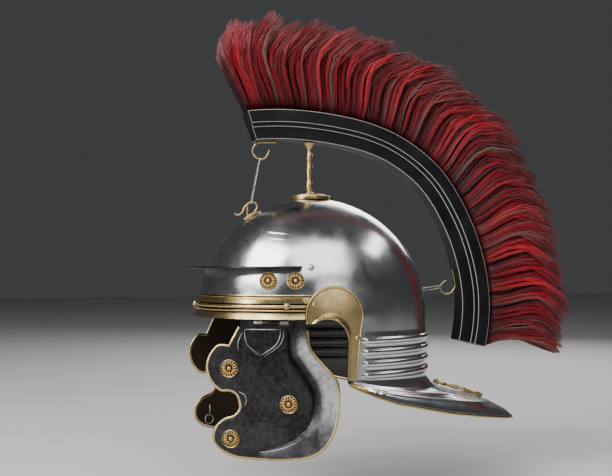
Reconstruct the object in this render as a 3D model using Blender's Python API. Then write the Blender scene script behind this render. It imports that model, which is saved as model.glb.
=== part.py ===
"""Roman legionary helmet with cheek guards, a neck guard and a brush crest.

Units are metres. The helmet faces -Y, the wearer's left is +X and +Z is up. The origin is on
the inside of the crown, where the helmet sits on the head.
"""

import math

import bmesh
import bpy
from mathutils import Matrix, Vector

MM = 0.001

# Sheet metal and fits
CLEARANCE = 0.3 * MM
STEEL = 1.6 * MM
BRASS = 1.0 * MM
CHEEK_STEEL = 1.5 * MM

# Bowl, measured on its outer side
BOWL_HALF_WIDTH = 98 * MM
BOWL_FRONT = 115.5 * MM
BOWL_REAR = 119.5 * MM
BOWL_HEIGHT = 119 * MM
BOWL_SQUARENESS = 2.3
NAPE_SIDE = 57 * MM
NAPE_REAR = 64 * MM
BROW_STRIPE = 1.1 * MM
STRIPE_STEPS = 6
FRONT_COLUMNS = 20
REAR_COLUMNS = 16

# Ribs across the nape
RIB_COUNT = 4
RIB_PITCH = 10.8 * MM
RIB_WIDTH = 5.4 * MM
RIB_RISE = 2.2 * MM
FIRST_RIB = 21 * MM

# Neck guard: how far it flares past the bowl's side, runs behind the bowl and drops to its tip
NECK_FLARE = 8 * MM
NECK_LENGTH = 102.5 * MM
NECK_STEP = 2 * MM
NECK_DROP = 51 * MM
FLUTE_RISE = 1.4 * MM
TRIM_WIDTH = 2.6 * MM
TRIM_LIP = 0.4 * MM
NECK_STUD_RADIUS = 1.8 * MM
NECK_STUD_Y = 37.5 * MM
NECK_STUD_PITCH = 7 * MM

# Brow guard and brow band
PEAK_RISE = 47.5 * MM
PEAK_FRONT = 19 * MM
PEAK_SIDE = 7.5 * MM
PEAK_THICKNESS = 2.2 * MM
PEAK_HALF_ANGLE = math.radians(76)
BOLT_RADIUS = 3 * MM
BOLT_STEP = math.radians(4.5)
BAND_HEIGHT = 22 * MM
BAND_BEAD = 1.4 * MM
BAND_FLANGE = 2 * MM
BAND_STUD_RADIUS = 3 * MM
BAND_STUD_Y = -46 * MM

# Ear guards, drawn on the side of the bowl
EAR_HEAD_RADIUS = 27.2 * MM
EAR_HEAD_Y = -2.5 * MM
EAR_HEAD_RISE = 3 * MM
EAR_HEAD_START = math.radians(196)
EAR_HEAD_SWEEP = math.radians(200)
EAR_ARCH_RADIUS = 20.2 * MM
EAR_ARCH_Y = -10.3 * MM
EAR_ARCH_DROP = 20 * MM
EAR_ARCH_START = math.radians(126)
EAR_LAP = 0.6 * MM
EAR_TAIL_WIDTH = 8.8 * MM
EAR_LIP = 4.5 * MM
EAR_THICKNESS = 1.2 * MM
EAR_RIVET_RADIUS = 2.1 * MM

# Cheek guards and their hinges
HINGE_Y = -56.5 * MM
HINGE_GAP = 2 * MM
HINGE_DROP = 3.1 * MM
KNUCKLE_RADIUS = 2.2 * MM
PIN_RADIUS = 1 * MM
KNUCKLE_LENGTH = 16 * MM
LEAF_KNUCKLE = 7.6 * MM
KNUCKLE_SHIFT = -4 * MM
LEAF_HEIGHT = 11 * MM
LEAF_THICKNESS = 1.1 * MM
LEAF_OVERLAP = 0.5 * MM
LEAF_STEP = 0.4 * MM
CHEEK_WIDTH = 120 * MM
CHEEK_HEIGHT = 123 * MM
CHEEK_FLARE = 7 * MM
CHEEK_FLARE_WIDTH = 26 * MM
CHEEK_TRIM = 2.2 * MM
CHEEK_TRIM_LIP = 0.35 * MM
CHEEK_EDGE_STEP = 10 * MM
TIE_RING_RADIUS = 5 * MM
TIE_WIRE = 0.55 * MM
TIE_STAPLE = 11.7 * MM
TIE_STAPLE_BEND = 1 * MM

# Rosettes
ROSETTE_RADIUS = 8.3 * MM
ROSETTE_HEIGHT = 2.6 * MM
BOWL_ROSETTE_RISE = 35 * MM
BOWL_ROSETTE_Y = (("front", -61.3 * MM), ("rear", -37.2 * MM))

# Crest box, drawn in the middle plane
CREST_RADIUS = 199.5 * MM
CREST_CENTRE_Y = -2.9 * MM
CREST_CENTRE_DEPTH = 108 * MM
CREST_FRONT_ANGLE = 108.5
CREST_REAR_ANGLE = -14
CREST_DEPTH = 30 * MM
CREST_HALF_WIDTH = 14.6 * MM
KEEL_HALF_WIDTH = 10.9 * MM
LEDGE_DEPTH = 13 * MM
LIP_DEPTH = 4.5 * MM

# Plume
PLUME_SECTIONS = 7
PLUME_LOCKS = 4
PLUME_HEIGHT = 93 * MM
PLUME_HALF_WIDTH = 27 * MM
PLUME_JAG = 6 * MM
PLUME_LEAN = 9 * MM
PLUME_CURL = 15 * MM
PLUME_SAG = 9 * MM
PLUME_SAG_START = 40
PLUME_LIFT = 25 * MM
PLUME_LIFT_START = 8

# Crest mounting
PLATE_RADIUS = 21.8 * MM
PLATE_UPPER_RADIUS = 17.6 * MM
PLATE_HEIGHT = 3.4 * MM
POST_RADIUS = 4 * MM
HOOK_WIRE = 0.9 * MM
LINK_WIRE = 0.6 * MM
LINK_NARROW = 2.2 * MM
LINK_WIDE = 3 * MM
LINK_REAR = 2.6 * MM
HOOK_PLATE_HALF_WIDTH = 3.6 * MM
HOOK_PLATE_THICKNESS = 1.2 * MM
FRONT_HOOK_DROP = 17 * MM
FRONT_EYE_HEIGHT = 11.4 * MM
FRONT_EYE_DEPTH = 16.2 * MM
FRONT_PLATE_DROP = 8.5 * MM
REAR_HOOK_REACH = 17.2 * MM
REAR_EYE_REACH = 10 * MM
REAR_EYE_RISE = 25 * MM
REAR_PLATE_DROP = 12 * MM

# Carrying handle on the neck guard
HANDLE_HALF_WIDTH = 31 * MM
HANDLE_REACH = 28 * MM
HANDLE_Y = 156 * MM
HANDLE_BAR = 2 * MM
HANDLE_PIN = 1.5 * MM
HANDLE_END = 6 * MM
EYELET_WIRE = 0.8 * MM
EYELET_OUT = 4.2 * MM

CROWN_Z = STEEL
RIM_Z = CROWN_Z - BOWL_HEIGHT
PEAK_DEPTH = BOWL_HEIGHT - PEAK_RISE
NECK_REACH = BOWL_REAR + NECK_LENGTH
CREST_CENTRE_Z = CROWN_Z - CREST_CENTRE_DEPTH
EAR_LIFT = 3 * CLEARANCE + BRASS
EAR_HEAD_Z = RIM_Z + EAR_HEAD_RISE
EAR_EDGE_Y = EAR_ARCH_Y + EAR_ARCH_RADIUS + EAR_LAP

# Share of the neck guard's drop at each share of its width, from the nape to its edge
NECK_ROWS = (
    # width, drop, flute
    (0.10, 0.24, 0.0),
    (0.25, 0.37, 0.0),
    (0.34, 0.43, 1.0),
    (0.43, 0.47, 0.0),
    (0.60, 0.58, 0.0),
    (0.68, 0.64, 1.0),
    (0.76, 0.68, 0.0),
    (0.93, 0.87, 0.0),
    (1.00, 1.00, 0.0),
)
# Share of the rim's drop at each share of its length, from the ear to the tip
RIM_ROWS = (
    (0.0, 0.0),
    (0.13, 0.23),
    (0.24, 0.38),
    (0.37, 0.50),
    (0.50, 0.62),
    (0.64, 0.72),
    (0.79, 0.83),
    (1.0, 1.0),
)
# Share of the crest's radius at each angle above the horizontal, from the rear end to the front
CREST_ROWS = (
    (-14, 1.006),
    (0, 1.003),
    (15, 0.997),
    (30, 1.000),
    (45, 1.012),
    (60, 1.005),
    (70, 0.993),
    (80, 0.983),
    (90, 0.986),
    (100, 1.003),
    (108.5, 1.026),
)
# Cheek guard's free edge from the rear of its top round to the front, as shares of its width behind
# the hinge and of its height below the hinge
CHEEK_EDGE = (
    (0.232, 0.060),
    (0.250, 0.175),
    (0.293, 0.247),
    (0.366, 0.325),
    (0.437, 0.394),
    (0.470, 0.450),
    (0.478, 0.563),
    (0.468, 0.693),
    (0.421, 0.842),
    (0.325, 0.944),
    (0.210, 0.982),
    (0.084, 0.996),
    (-0.078, 1.000),
    (-0.240, 0.994),
    (-0.330, 0.978),
    (-0.408, 0.944),
    (-0.462, 0.888),
    (-0.469, 0.835),
    (-0.445, 0.780),
    (-0.390, 0.735),
    (-0.318, 0.710),
    (-0.272, 0.663),
    (-0.262, 0.610),
    (-0.288, 0.532),
    (-0.352, 0.497),
    (-0.418, 0.495),
    (-0.468, 0.456),
    (-0.505, 0.400),
    (-0.521, 0.322),
    (-0.496, 0.245),
    (-0.440, 0.187),
    (-0.356, 0.188),
)
# Fold line of the flared rear and bottom border, in the same shares
CHEEK_FOLD = (
    (0.080, 0.00),
    (0.083, 0.11),
    (0.100, 0.26),
    (0.135, 0.31),
    (0.205, 0.41),
    (0.262, 0.50),
    (0.278, 0.59),
    (0.253, 0.72),
    (0.175, 0.81),
    (0.045, 0.89),
    (-0.110, 0.935),
    (-0.240, 0.955),
)
CHEEK_ROSETTES = (("upper", -0.357, 0.344), ("middle", 0.104, 0.605), ("lower", -0.343, 0.866))
TIE_STAPLE_AT = (-0.342, 0.793)
# Plume's half width at each share of its height
PLUME_WIDTHS = ((0.0, 0.40), (0.3, 0.60), (0.6, 0.86), (0.8, 1.0), (0.94, 0.78), (1.0, 0.28))
# Post's radius at each share of its height
POST_ROWS = (
    (0.00, 1.15),
    (0.03, 1.15),
    (0.06, 0.70),
    (0.12, 0.95),
    (0.20, 1.00),
    (0.30, 0.78),
    (0.48, 0.95),
    (0.62, 0.72),
    (0.72, 0.90),
    (0.86, 0.62),
    (0.94, 1.00),
    (1.00, 1.45),
)
# Carrying handle's left half as shares of its half width and of its reach behind the pins
HANDLE_ROWS = ((1.065, 0.01), (0.97, 0.20), (0.90, 0.62), (0.72, 0.93), (0.42, 1.0), (0.20, 1.0))
# Wire of each hook as (behind, above) where it starts, as shares of the size that its name gives
FRONT_HOOK_ROWS = (
    (-0.247, -0.235),
    (-0.329, -0.529),
    (-0.200, -0.824),
    (0.129, -1.000),
    (0.424, -0.906),
    (0.612, -0.647),
    (0.694, -0.412),
)
FRONT_EYE_ROWS = (
    (0.018, 0.149),
    (0.263, 0.509),
    (0.105, 0.895),
    (-0.281, 1.000),
    (-0.632, 0.772),
    (-0.912, 0.456),
    (-1.070, 0.088),
    (-1.316, -0.123),
    (-1.614, -0.140),
    (-1.807, -0.018),
)
REAR_HOOK_ROWS = (
    (-0.140, -0.326),
    (-0.372, -0.523),
    (-0.674, -0.547),
    (-0.907, -0.372),
    (-1.000, -0.093),
    (-0.849, 0.140),
    (-0.616, 0.302),
)
REAR_EYE_ROWS = (
    (0.07, 0.26),
    (0.50, 0.36),
    (0.94, 0.10),
    (1.00, -0.34),
    (0.66, -0.62),
    (0.68, -1.20),
    (1.00, -1.70),
)


def clear_scene():
    for thing in list(bpy.data.objects):
        bpy.data.objects.remove(thing, do_unlink=True)


def make_material(name, colour, metallic, roughness):
    """Returns a Principled material of one colour."""
    material = bpy.data.materials.new(name)
    material.use_nodes = True
    shader = material.node_tree.nodes["Principled BSDF"]
    shader.inputs["Base Color"].default_value = (*colour, 1.0)
    shader.inputs["Metallic"].default_value = metallic
    shader.inputs["Roughness"].default_value = roughness
    material.diffuse_color = (*colour, 1.0)
    return material


def interpolate(rows, at):
    """Returns the second column of a table, read at a value of the first by straight lines."""
    if at <= rows[0][0]:
        return rows[0][1]
    for (low, before), (high, after) in zip(rows, rows[1:]):
        if at <= high:
            return before + (after - before) * (at - low) / (high - low)
    return rows[-1][1]


def smooth_path(points, steps, closed=False):
    """Returns a Catmull-Rom curve through the points, with a number of steps to each span."""
    count = len(points)
    spans = count if closed else count - 1
    path = []
    for span in range(spans):
        if closed:
            p0, p1, p2, p3 = (points[(span + shift) % count] for shift in (-1, 0, 1, 2))
        else:
            p1, p2 = points[span], points[span + 1]
            p0 = points[span - 1] if span else p1 * 2 - p2
            p3 = points[span + 2] if span + 2 < count else p2 * 2 - p1
        for step in range(steps):
            t = step / steps
            path.append(
                0.5
                * (
                    p1 * 2
                    + (p2 - p0) * t
                    + (p0 * 2 - p1 * 5 + p2 * 4 - p3) * t * t
                    + (p1 * 3 - p0 - p2 * 3 + p3) * t**3
                )
            )
    if not closed:
        path.append(points[-1].copy())
    return path


def add_object(name, bm, material, origin=None, parent=None):
    """Turns a bmesh in world coordinates into an object with its origin where it is asked for."""
    bmesh.ops.recalc_face_normals(bm, faces=bm.faces)
    if bm.calc_volume(signed=True) < 0:
        bmesh.ops.reverse_faces(bm, faces=bm.faces)
    place = origin or Vector((0, 0, 0))
    bmesh.ops.translate(bm, verts=bm.verts, vec=-place)
    mesh = bpy.data.meshes.new(name)
    bm.to_mesh(mesh)
    bm.free()
    thing = bpy.data.objects.new(name, mesh)
    thing.data.materials.append(material)
    bpy.context.scene.collection.objects.link(thing)
    thing.parent = parent
    thing.location = place - parent.location if parent else place
    return thing


def add_empty(name, location):
    """Adds the empty that a moving body's pieces hang from, on the joint's axis."""
    empty = bpy.data.objects.new(name, None)
    empty.location = location
    empty.empty_display_size = 0.02
    bpy.context.scene.collection.objects.link(empty)
    return empty


def add_cutter(name, bm):
    """Adds a helper that a Boolean uses, which isn't a piece."""
    bmesh.ops.recalc_face_normals(bm, faces=bm.faces)
    if bm.calc_volume(signed=True) < 0:
        bmesh.ops.reverse_faces(bm, faces=bm.faces)
    mesh = bpy.data.meshes.new(name)
    bm.to_mesh(mesh)
    bm.free()
    cutter = bpy.data.objects.new(name, mesh)
    bpy.context.scene.collection.objects.link(cutter)
    cutter.hide_render = True
    cutter.display_type = "WIRE"
    return cutter


def combine(thing, other, operation):
    """Joins or cuts with a Boolean and keeps the result in the object's mesh."""
    modifier = thing.modifiers.new(other.name, "BOOLEAN")
    modifier.operation = operation
    modifier.solver = "EXACT"
    modifier.object = other
    bpy.context.view_layer.update()
    graph = bpy.context.evaluated_depsgraph_get()
    result = bpy.data.meshes.new_from_object(thing.evaluated_get(graph))
    thing.modifiers.clear()
    thing.data = result
    bpy.data.objects.remove(other, do_unlink=True)


def skin_rings(bm, rings, closed_rings=True, cap_ends=True, close_loop=False):
    """Bridges rings of points in order, and caps the first and last of an open run."""
    rows = [[bm.verts.new(point) for point in ring] for ring in rings]
    pairs = list(zip(rows, rows[1:]))
    if close_loop:
        pairs.append((rows[-1], rows[0]))
    count = len(rows[0])
    spans = count if closed_rings else count - 1
    for here, there in pairs:
        for index in range(spans):
            after = (index + 1) % count
            bm.faces.new((here[index], here[after], there[after], there[index]))
    if cap_ends and not close_loop:
        bm.faces.new(rows[0])
        bm.faces.new(list(reversed(rows[-1])))
    return rows


def tube_rings(path, radii, sides, closed=False):
    """Returns the rings of a round tube that follows a path without twisting."""
    count = len(path)
    ahead = path[1] - path[0]
    across = ahead.orthogonal().normalized()
    frames = []
    for index in range(count):
        if closed:
            tangent = (path[(index + 1) % count] - path[index - 1]).normalized()
        else:
            tangent = (path[min(index + 1, count - 1)] - path[max(index - 1, 0)]).normalized()
        across = (across - tangent * across.dot(tangent)).normalized()
        frames.append((across.copy(), tangent.cross(across)))
    rings = []
    for index, (across, beside) in enumerate(frames):
        radius = radii[index] if isinstance(radii, (list, tuple)) else radii
        ring = []
        for side in range(sides):
            turn = math.tau * side / sides
            ring.append(path[index] + (across * math.cos(turn) + beside * math.sin(turn)) * radius)
        rings.append(ring)
    return rings


def skin_strip_ends(bm, rows):
    """Caps a run of rings with strips between their two sides, so that bent ends match a neighbour's."""
    for row in (rows[0], rows[-1]):
        last = len(row) - 1
        for index in range(len(row) // 2 - 1):
            bm.faces.new((row[index], row[index + 1], row[last - index - 1], row[last - index]))


def close_twist(rings):
    """Turns the ring order of a closed tube's last span so that it meets the first without a twist."""
    first, last = rings[0], rings[-1]
    count = len(first)

    def stretch(shift):
        return sum((first[index] - last[(index + shift) % count]).length for index in range(count))

    return min(range(count), key=stretch)


def add_tube(bm, path, radii, sides=6, closed=False):
    """Adds a round tube along a path, as a loop or with closed ends."""
    rings = tube_rings(path, radii, sides, closed)
    rows = skin_rings(bm, rings, cap_ends=not closed)
    if closed:
        shift = close_twist(rings)
        count = len(rows[0])
        last = rows[-1][shift:] + rows[-1][:shift]
        for index in range(count):
            after = (index + 1) % count
            bm.faces.new((last[index], last[after], rows[0][after], rows[0][index]))


def add_turned(bm, profile, segments, frame):
    """Adds a turned solid from (radius, height) rows that start and end on its axis."""
    rings = []
    for radius, height in profile[1:-1]:
        ring = []
        for segment in range(segments):
            turn = math.tau * segment / segments
            ring.append(frame @ Vector((radius * math.cos(turn), radius * math.sin(turn), height)))
        rings.append(ring)
    rows = skin_rings(bm, rings, cap_ends=False)
    for row, (_, height) in ((rows[0], profile[0]), (rows[-1], profile[-1])):
        tip = bm.verts.new(frame @ Vector((0, 0, height)))
        for segment in range(segments):
            bm.faces.new((row[segment], row[(segment + 1) % segments], tip))


def frame_at(point, normal):
    """Returns a matrix whose Z axis is the normal and whose origin is the point."""
    turn = Vector((0, 0, 1)).rotation_difference(normal)
    return Matrix.Translation(point) @ turn.to_matrix().to_4x4()


def mirrored(point, side):
    """Returns the point on the wearer's left for side 1 and on the right for side -1."""
    return Vector((point.x * side, point.y, point.z))


# Bowl surface


def dome_share(depth):
    """Returns the dome's radius at a depth below the crown, as a share of its radius at the rim."""
    if depth >= BOWL_HEIGHT:
        return 1.0
    rise = 1 - depth / BOWL_HEIGHT
    return math.sqrt(max(0.0, 1 - rise * rise))


def bowl_normal(point):
    """Returns the outward normal of the bowl's outer side at a point on it."""
    length = BOWL_FRONT if point.y < 0 else BOWL_REAR
    power = BOWL_SQUARENESS
    plan = abs(point.x / BOWL_HALF_WIDTH) ** power + abs(point.y / length) ** power
    if plan < 1e-9:
        return Vector((0, 0, 1))
    scale = plan ** (2 / power - 1)
    slope_x = scale * math.copysign(abs(point.x) ** (power - 1), point.x) / BOWL_HALF_WIDTH**power
    slope_y = scale * math.copysign(abs(point.y) ** (power - 1), point.y) / length**power
    slope_z = max(0.0, point.z - RIM_Z) / BOWL_HEIGHT**2
    return Vector((slope_x, slope_y, slope_z)).normalized()


def bowl_point(azimuth, depth, lift=0.0):
    """Returns a point over the bowl's outer side; the azimuth runs from the front to the left."""
    share = dome_share(depth)
    ahead, aside = math.cos(azimuth), math.sin(azimuth)
    length = BOWL_FRONT if ahead > 0 else BOWL_REAR
    power = 2 / BOWL_SQUARENESS
    point = Vector(
        (
            BOWL_HALF_WIDTH * share * math.copysign(abs(aside) ** power, aside),
            -length * share * math.copysign(abs(ahead) ** power, ahead),
            CROWN_Z - depth,
        )
    )
    return point + bowl_normal(point) * lift if lift else point


def side_azimuth(y, depth):
    """Returns the azimuth on the wearer's left where the bowl reaches a given Y."""
    length = BOWL_FRONT if y < 0 else BOWL_REAR
    share = min(1.0, abs(y) / (length * dome_share(depth)))
    turn = math.acos(share ** (BOWL_SQUARENESS / 2))
    return turn if y < 0 else math.pi - turn


def side_point(y, z, lift):
    """Returns a point over the bowl's left side from its Y and Z."""
    depth = CROWN_Z - z
    return bowl_point(side_azimuth(y, depth), depth, lift)


def ear_azimuth():
    """Returns where the nape starts, behind the ear."""
    return side_azimuth(EAR_EDGE_Y, BOWL_HEIGHT)


def neck_share(azimuth):
    """Returns 0 at the ear and 1 at the middle of the back."""
    start = ear_azimuth()
    from_front = azimuth if azimuth <= math.pi else math.tau - azimuth
    return (from_front - start) / (math.pi - start)


def nape_depth(azimuth):
    """Returns the depth below the crown at which the nape turns into the neck guard."""
    share = neck_share(azimuth)
    return BOWL_HEIGHT + NAPE_SIDE + (NAPE_REAR - NAPE_SIDE) * share


def neck_rim(azimuth):
    """Returns the outer edge of the neck guard for a column of the bowl."""
    turn = math.pi / 2 * neck_share(azimuth)
    side = 1 if azimuth <= math.pi else -1
    reach = NECK_REACH - EAR_EDGE_Y
    along = math.sin(turn)
    drop = interpolate(RIM_ROWS, along)
    depth = BOWL_HEIGHT + NAPE_SIDE + NECK_STEP + NECK_DROP * drop
    half_width = BOWL_HALF_WIDTH + NECK_FLARE
    return Vector((side * half_width * math.cos(turn), EAR_EDGE_Y + reach * along, CROWN_Z - depth))


def neck_point(azimuth, width, drop, flute):
    """Returns a point of the neck guard's upper side."""
    start = bowl_point(azimuth, nape_depth(azimuth))
    end = neck_rim(azimuth)
    fade = min(1.0, (end - start).length / (0.4 * NECK_LENGTH))
    point = start.lerp(end, width)
    point.z = start.z + (end.z - start.z) * drop + FLUTE_RISE * flute * fade
    return point


def bowl_columns():
    """Returns the azimuths of the dome's columns, from the right ear round the front, then the back."""
    start = ear_azimuth()
    front = [start * (2 * step / FRONT_COLUMNS - 1) for step in range(FRONT_COLUMNS)]
    rear = [start + (math.tau - 2 * start) * step / REAR_COLUMNS for step in range(REAR_COLUMNS)]
    return front, rear


def brow_azimuths(end):
    """Returns the dome's columns between two ends at the same azimuth on either side of the front."""
    front, _ = bowl_columns()
    inside = [azimuth for azimuth in front if abs(azimuth) < end - math.radians(1)]
    return [-end, *inside, end]


def nape_rows():
    """Returns (drop below the rim, rise of the rib) for each row of the nape."""
    rows = []
    for rib in range(RIB_COUNT):
        middle = FIRST_RIB + RIB_PITCH * rib
        rows += [(middle - RIB_WIDTH / 2, 0.0), (middle, RIB_RISE), (middle + RIB_WIDTH / 2, 0.0)]
    return rows


def build_bowl(material):
    """Builds the dome, nape and neck guard as one raised sheet with its brow stripes."""
    front, back = bowl_columns()
    azimuths = front + back
    polar_steps = (15, 30, 43, 55, 66.5, 78, 90)
    bm = bmesh.new()
    pole = bm.verts.new((0, 0, CROWN_Z))
    rows = []
    for polar in polar_steps:
        depth = BOWL_HEIGHT * (1 - math.cos(math.radians(polar)))
        rows.append([bm.verts.new(bowl_point(azimuth, depth)) for azimuth in azimuths])
    count = len(azimuths)
    for index in range(count):
        bm.faces.new((pole, rows[0][index], rows[0][(index + 1) % count]))
    for here, there in zip(rows, rows[1:]):
        for index in range(count):
            after = (index + 1) % count
            bm.faces.new((here[index], there[index], there[after], here[after]))
    rear = list(range(len(front), count)) + [0]
    above = [rows[-1][index] for index in rear]
    rear_azimuths = [azimuths[index] % math.tau for index in rear]
    lower_rows = []
    for drop, rise in nape_rows():
        row = []
        for azimuth in rear_azimuths:
            fade = min(1.0, max(0.0, neck_share(azimuth) / 0.14 - 0.35))
            row.append(bowl_point(azimuth, BOWL_HEIGHT + drop, rise * fade))
        lower_rows.append(row)
    lower_rows.append([bowl_point(azimuth, nape_depth(azimuth)) for azimuth in rear_azimuths])
    for width, drop, flute in NECK_ROWS:
        lower_rows.append([neck_point(azimuth, width, drop, flute) for azimuth in rear_azimuths])
    for points in lower_rows:
        below = [bm.verts.new(point) for point in points]
        for index in range(len(rear) - 1):
            bm.faces.new((above[index], below[index], below[index + 1], above[index + 1]))
        above = below
    bmesh.ops.recalc_face_normals(bm, faces=bm.faces)
    if sum(face.normal.z * face.calc_area() for face in bm.faces) < 0:
        bmesh.ops.reverse_faces(bm, faces=bm.faces)
    mesh = bpy.data.meshes.new("bowl")
    bm.to_mesh(mesh)
    bm.free()
    bowl = bpy.data.objects.new("bowl", mesh)
    bowl.data.materials.append(material)
    bpy.context.scene.collection.objects.link(bowl)
    solidify = bowl.modifiers.new("sheet", "SOLIDIFY")
    solidify.thickness = STEEL
    solidify.offset = -1
    solidify.use_even_offset = True
    for side in (1, -1):
        for name, first, last, top in (("upper", 5, 58, 40), ("lower", 9, 64, 49)):
            stripe = bmesh.new()
            path = []
            radii = []
            for step in range(STRIPE_STEPS + 1):
                share = step / STRIPE_STEPS
                polar = top + 6 * (share - 0.25) ** 2 / 0.5625
                depth = BOWL_HEIGHT * (1 - math.cos(math.radians(polar)))
                azimuth = math.radians(first + (last - first) * share)
                path.append(mirrored(bowl_point(azimuth, depth), side))
                radii.append(BROW_STRIPE * (0.45 + 0.55 * math.sin(math.pi * share)))
            add_tube(stripe, path, radii, sides=4)
            combine(bowl, add_cutter(f"brow_stripe_{name}_{side}", stripe), "UNION")
    return bowl


# Brow guard, brow band and ear guards


def build_brow_guard(material):
    """Builds the flat peak that crosses the brow."""
    rings = []
    azimuths = brow_azimuths(PEAK_HALF_ANGLE)
    for azimuth in azimuths:
        share = abs(azimuth) / PEAK_HALF_ANGLE
        width = PEAK_SIDE + (PEAK_FRONT - PEAK_SIDE) * math.cos(math.pi / 2 * share) ** 1.3
        if share == 1:
            width *= 0.7
        half = PEAK_THICKNESS / 2
        inner = bowl_point(azimuth, PEAK_DEPTH)
        out = bowl_normal(inner)
        out.z = 0
        out.normalize()
        inner_top = bowl_point(azimuth, PEAK_DEPTH - half, CLEARANCE)
        inner_bottom = bowl_point(azimuth, PEAK_DEPTH + half, CLEARANCE)
        edge = inner + out * width
        thin = Vector((0, 0, half * 0.8))
        rings.append([inner_top, edge + thin, edge - thin, inner_bottom])
    bm = bmesh.new()
    skin_rings(bm, rings)
    return add_object("brow_guard", bm, material)


def build_brow_bolts(material):
    """Builds the round bolt behind each end of the brow guard."""
    for label, side in (("left", 1), ("right", -1)):
        azimuth = PEAK_HALF_ANGLE + BOLT_STEP
        point = bowl_point(azimuth, PEAK_DEPTH, CLEARANCE)
        normal = bowl_normal(bowl_point(azimuth, PEAK_DEPTH))
        name = f"brow_guard_bolt_{label}"
        radius = BOLT_RADIUS
        build_head(name, mirrored(point, side), mirrored(normal, side), radius, radius * 1.3, material)


def dome_profile(radius, height):
    """Returns the profile of a rivet head with a flat foot."""
    return ((0, 0), (radius, 0), (radius * 0.86, height * 0.62), (radius * 0.45, height * 0.94), (0, height))


def build_head(name, point, normal, radius, height, material, segments=8, parent=None):
    """Builds a domed rivet head whose foot is at the point."""
    bm = bmesh.new()
    add_turned(bm, dome_profile(radius, height), segments, frame_at(point, normal))
    return add_object(name, bm, material, parent=parent)


def band_profile():
    """Returns (share of the band's height, lift over the bowl) down the outer side and up the inner."""
    face = CLEARANCE + BRASS
    bead = face + BAND_BEAD
    swell = face + BAND_BEAD / 7
    return (
        (0.00, face),
        (0.31, swell),
        (0.38, face),
        (0.43, bead),
        (0.53, bead),
        (0.58, face),
        (0.62, bead),
        (0.69, bead),
        (0.74, face),
        (1.00, face + BAND_FLANGE),
        (1.00, CLEARANCE),
        (0.00, CLEARANCE),
    )


def band_end_azimuth():
    """Returns where the beaded band ends, just ahead of the ear guard."""
    return side_azimuth(EAR_HEAD_Y - EAR_HEAD_RADIUS - 2 * CLEARANCE, BOWL_HEIGHT)


def build_brow_band(material):
    """Builds the beaded brass band, with thin tongues that run in under the ear guards."""
    end = band_end_azimuth()
    tongue = side_azimuth(EAR_HEAD_Y - EAR_HEAD_RADIUS * 0.62, BOWL_HEIGHT)
    stations = [(azimuth, False) for azimuth in brow_azimuths(end)]
    nudge = CLEARANCE / BOWL_HALF_WIDTH
    stations = [(-tongue, True), (-end - nudge, True), *stations, (end + nudge, True), (tongue, True)]
    top = BOWL_HEIGHT - BAND_HEIGHT
    rings = []
    for azimuth, thin in stations:
        ring = []
        for share, lift in band_profile():
            if thin:
                lift = min(lift, CLEARANCE + BRASS)
            ring.append(bowl_point(azimuth, top + BAND_HEIGHT * share, lift))
        rings.append(ring)
    bm = bmesh.new()
    skin_rings(bm, rings)
    return add_object("brow_band", bm, material)


def build_band_studs(material):
    """Builds the studs on the band's beads, one at the front and one over each cheek guard."""
    depth = BOWL_HEIGHT - BAND_HEIGHT * 0.53
    lift = 2 * CLEARANCE + BRASS + BAND_BEAD
    side = side_azimuth(BAND_STUD_Y, depth)
    for name, azimuth in (("front", 0.0), ("left", side), ("right", -side)):
        normal = bowl_normal(bowl_point(azimuth, depth))
        point = bowl_point(azimuth, depth, lift)
        build_head(f"band_stud_{name}", point, normal, BAND_STUD_RADIUS, BAND_STUD_RADIUS * 0.9, material)


def ear_stations():
    """Returns (outer y, outer z, inner y, inner z) along the ear guard, from its front to its foot."""
    arch_z = RIM_Z - EAR_ARCH_DROP
    foot_z = RIM_Z - NAPE_SIDE + 4 * CLEARANCE
    stations = []
    for step in range(10):
        share = step / 9
        outer = EAR_HEAD_START - EAR_HEAD_SWEEP * share
        inner = EAR_ARCH_START * (1 - share)
        stations.append(
            (
                EAR_HEAD_Y + EAR_HEAD_RADIUS * math.cos(outer),
                EAR_HEAD_Z + EAR_HEAD_RADIUS * math.sin(outer),
                EAR_ARCH_Y + EAR_ARCH_RADIUS * math.cos(inner),
                arch_z + EAR_ARCH_RADIUS * math.sin(inner),
            )
        )
    outer_y, outer_z, inner_y, inner_z = stations[-1]
    for share in (0.3, 0.62, 1.0):
        tail = inner_y + EAR_TAIL_WIDTH
        bend = share**0.7
        stations.append(
            (
                outer_y + (tail - outer_y) * bend,
                outer_z + (foot_z - outer_z) * share,
                inner_y,
                inner_z + (foot_z - inner_z) * share,
            )
        )
    return stations


def build_ear_guard(name, side, material):
    """Builds a comma-shaped ear guard with a lip round the ear."""
    rings = []
    for outer_y, outer_z, inner_y, inner_z in ear_stations():
        ring = []
        for share, lift in (
            (0.0, EAR_LIFT),
            (0.0, EAR_LIFT + EAR_THICKNESS),
            (0.5, EAR_LIFT + EAR_THICKNESS),
            (0.93, EAR_LIFT + EAR_THICKNESS),
            (0.95, EAR_LIFT + EAR_LIP),
            (1.0, EAR_LIFT + EAR_LIP),
            (1.0, EAR_LIFT),
            (0.5, EAR_LIFT),
        ):
            y = outer_y + (inner_y - outer_y) * share
            z = outer_z + (inner_z - outer_z) * share
            ring.append(mirrored(side_point(y, z, lift), side))
        rings.append(ring)
    bm = bmesh.new()
    skin_rings(bm, rings)
    return add_object(name, bm, material)


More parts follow.
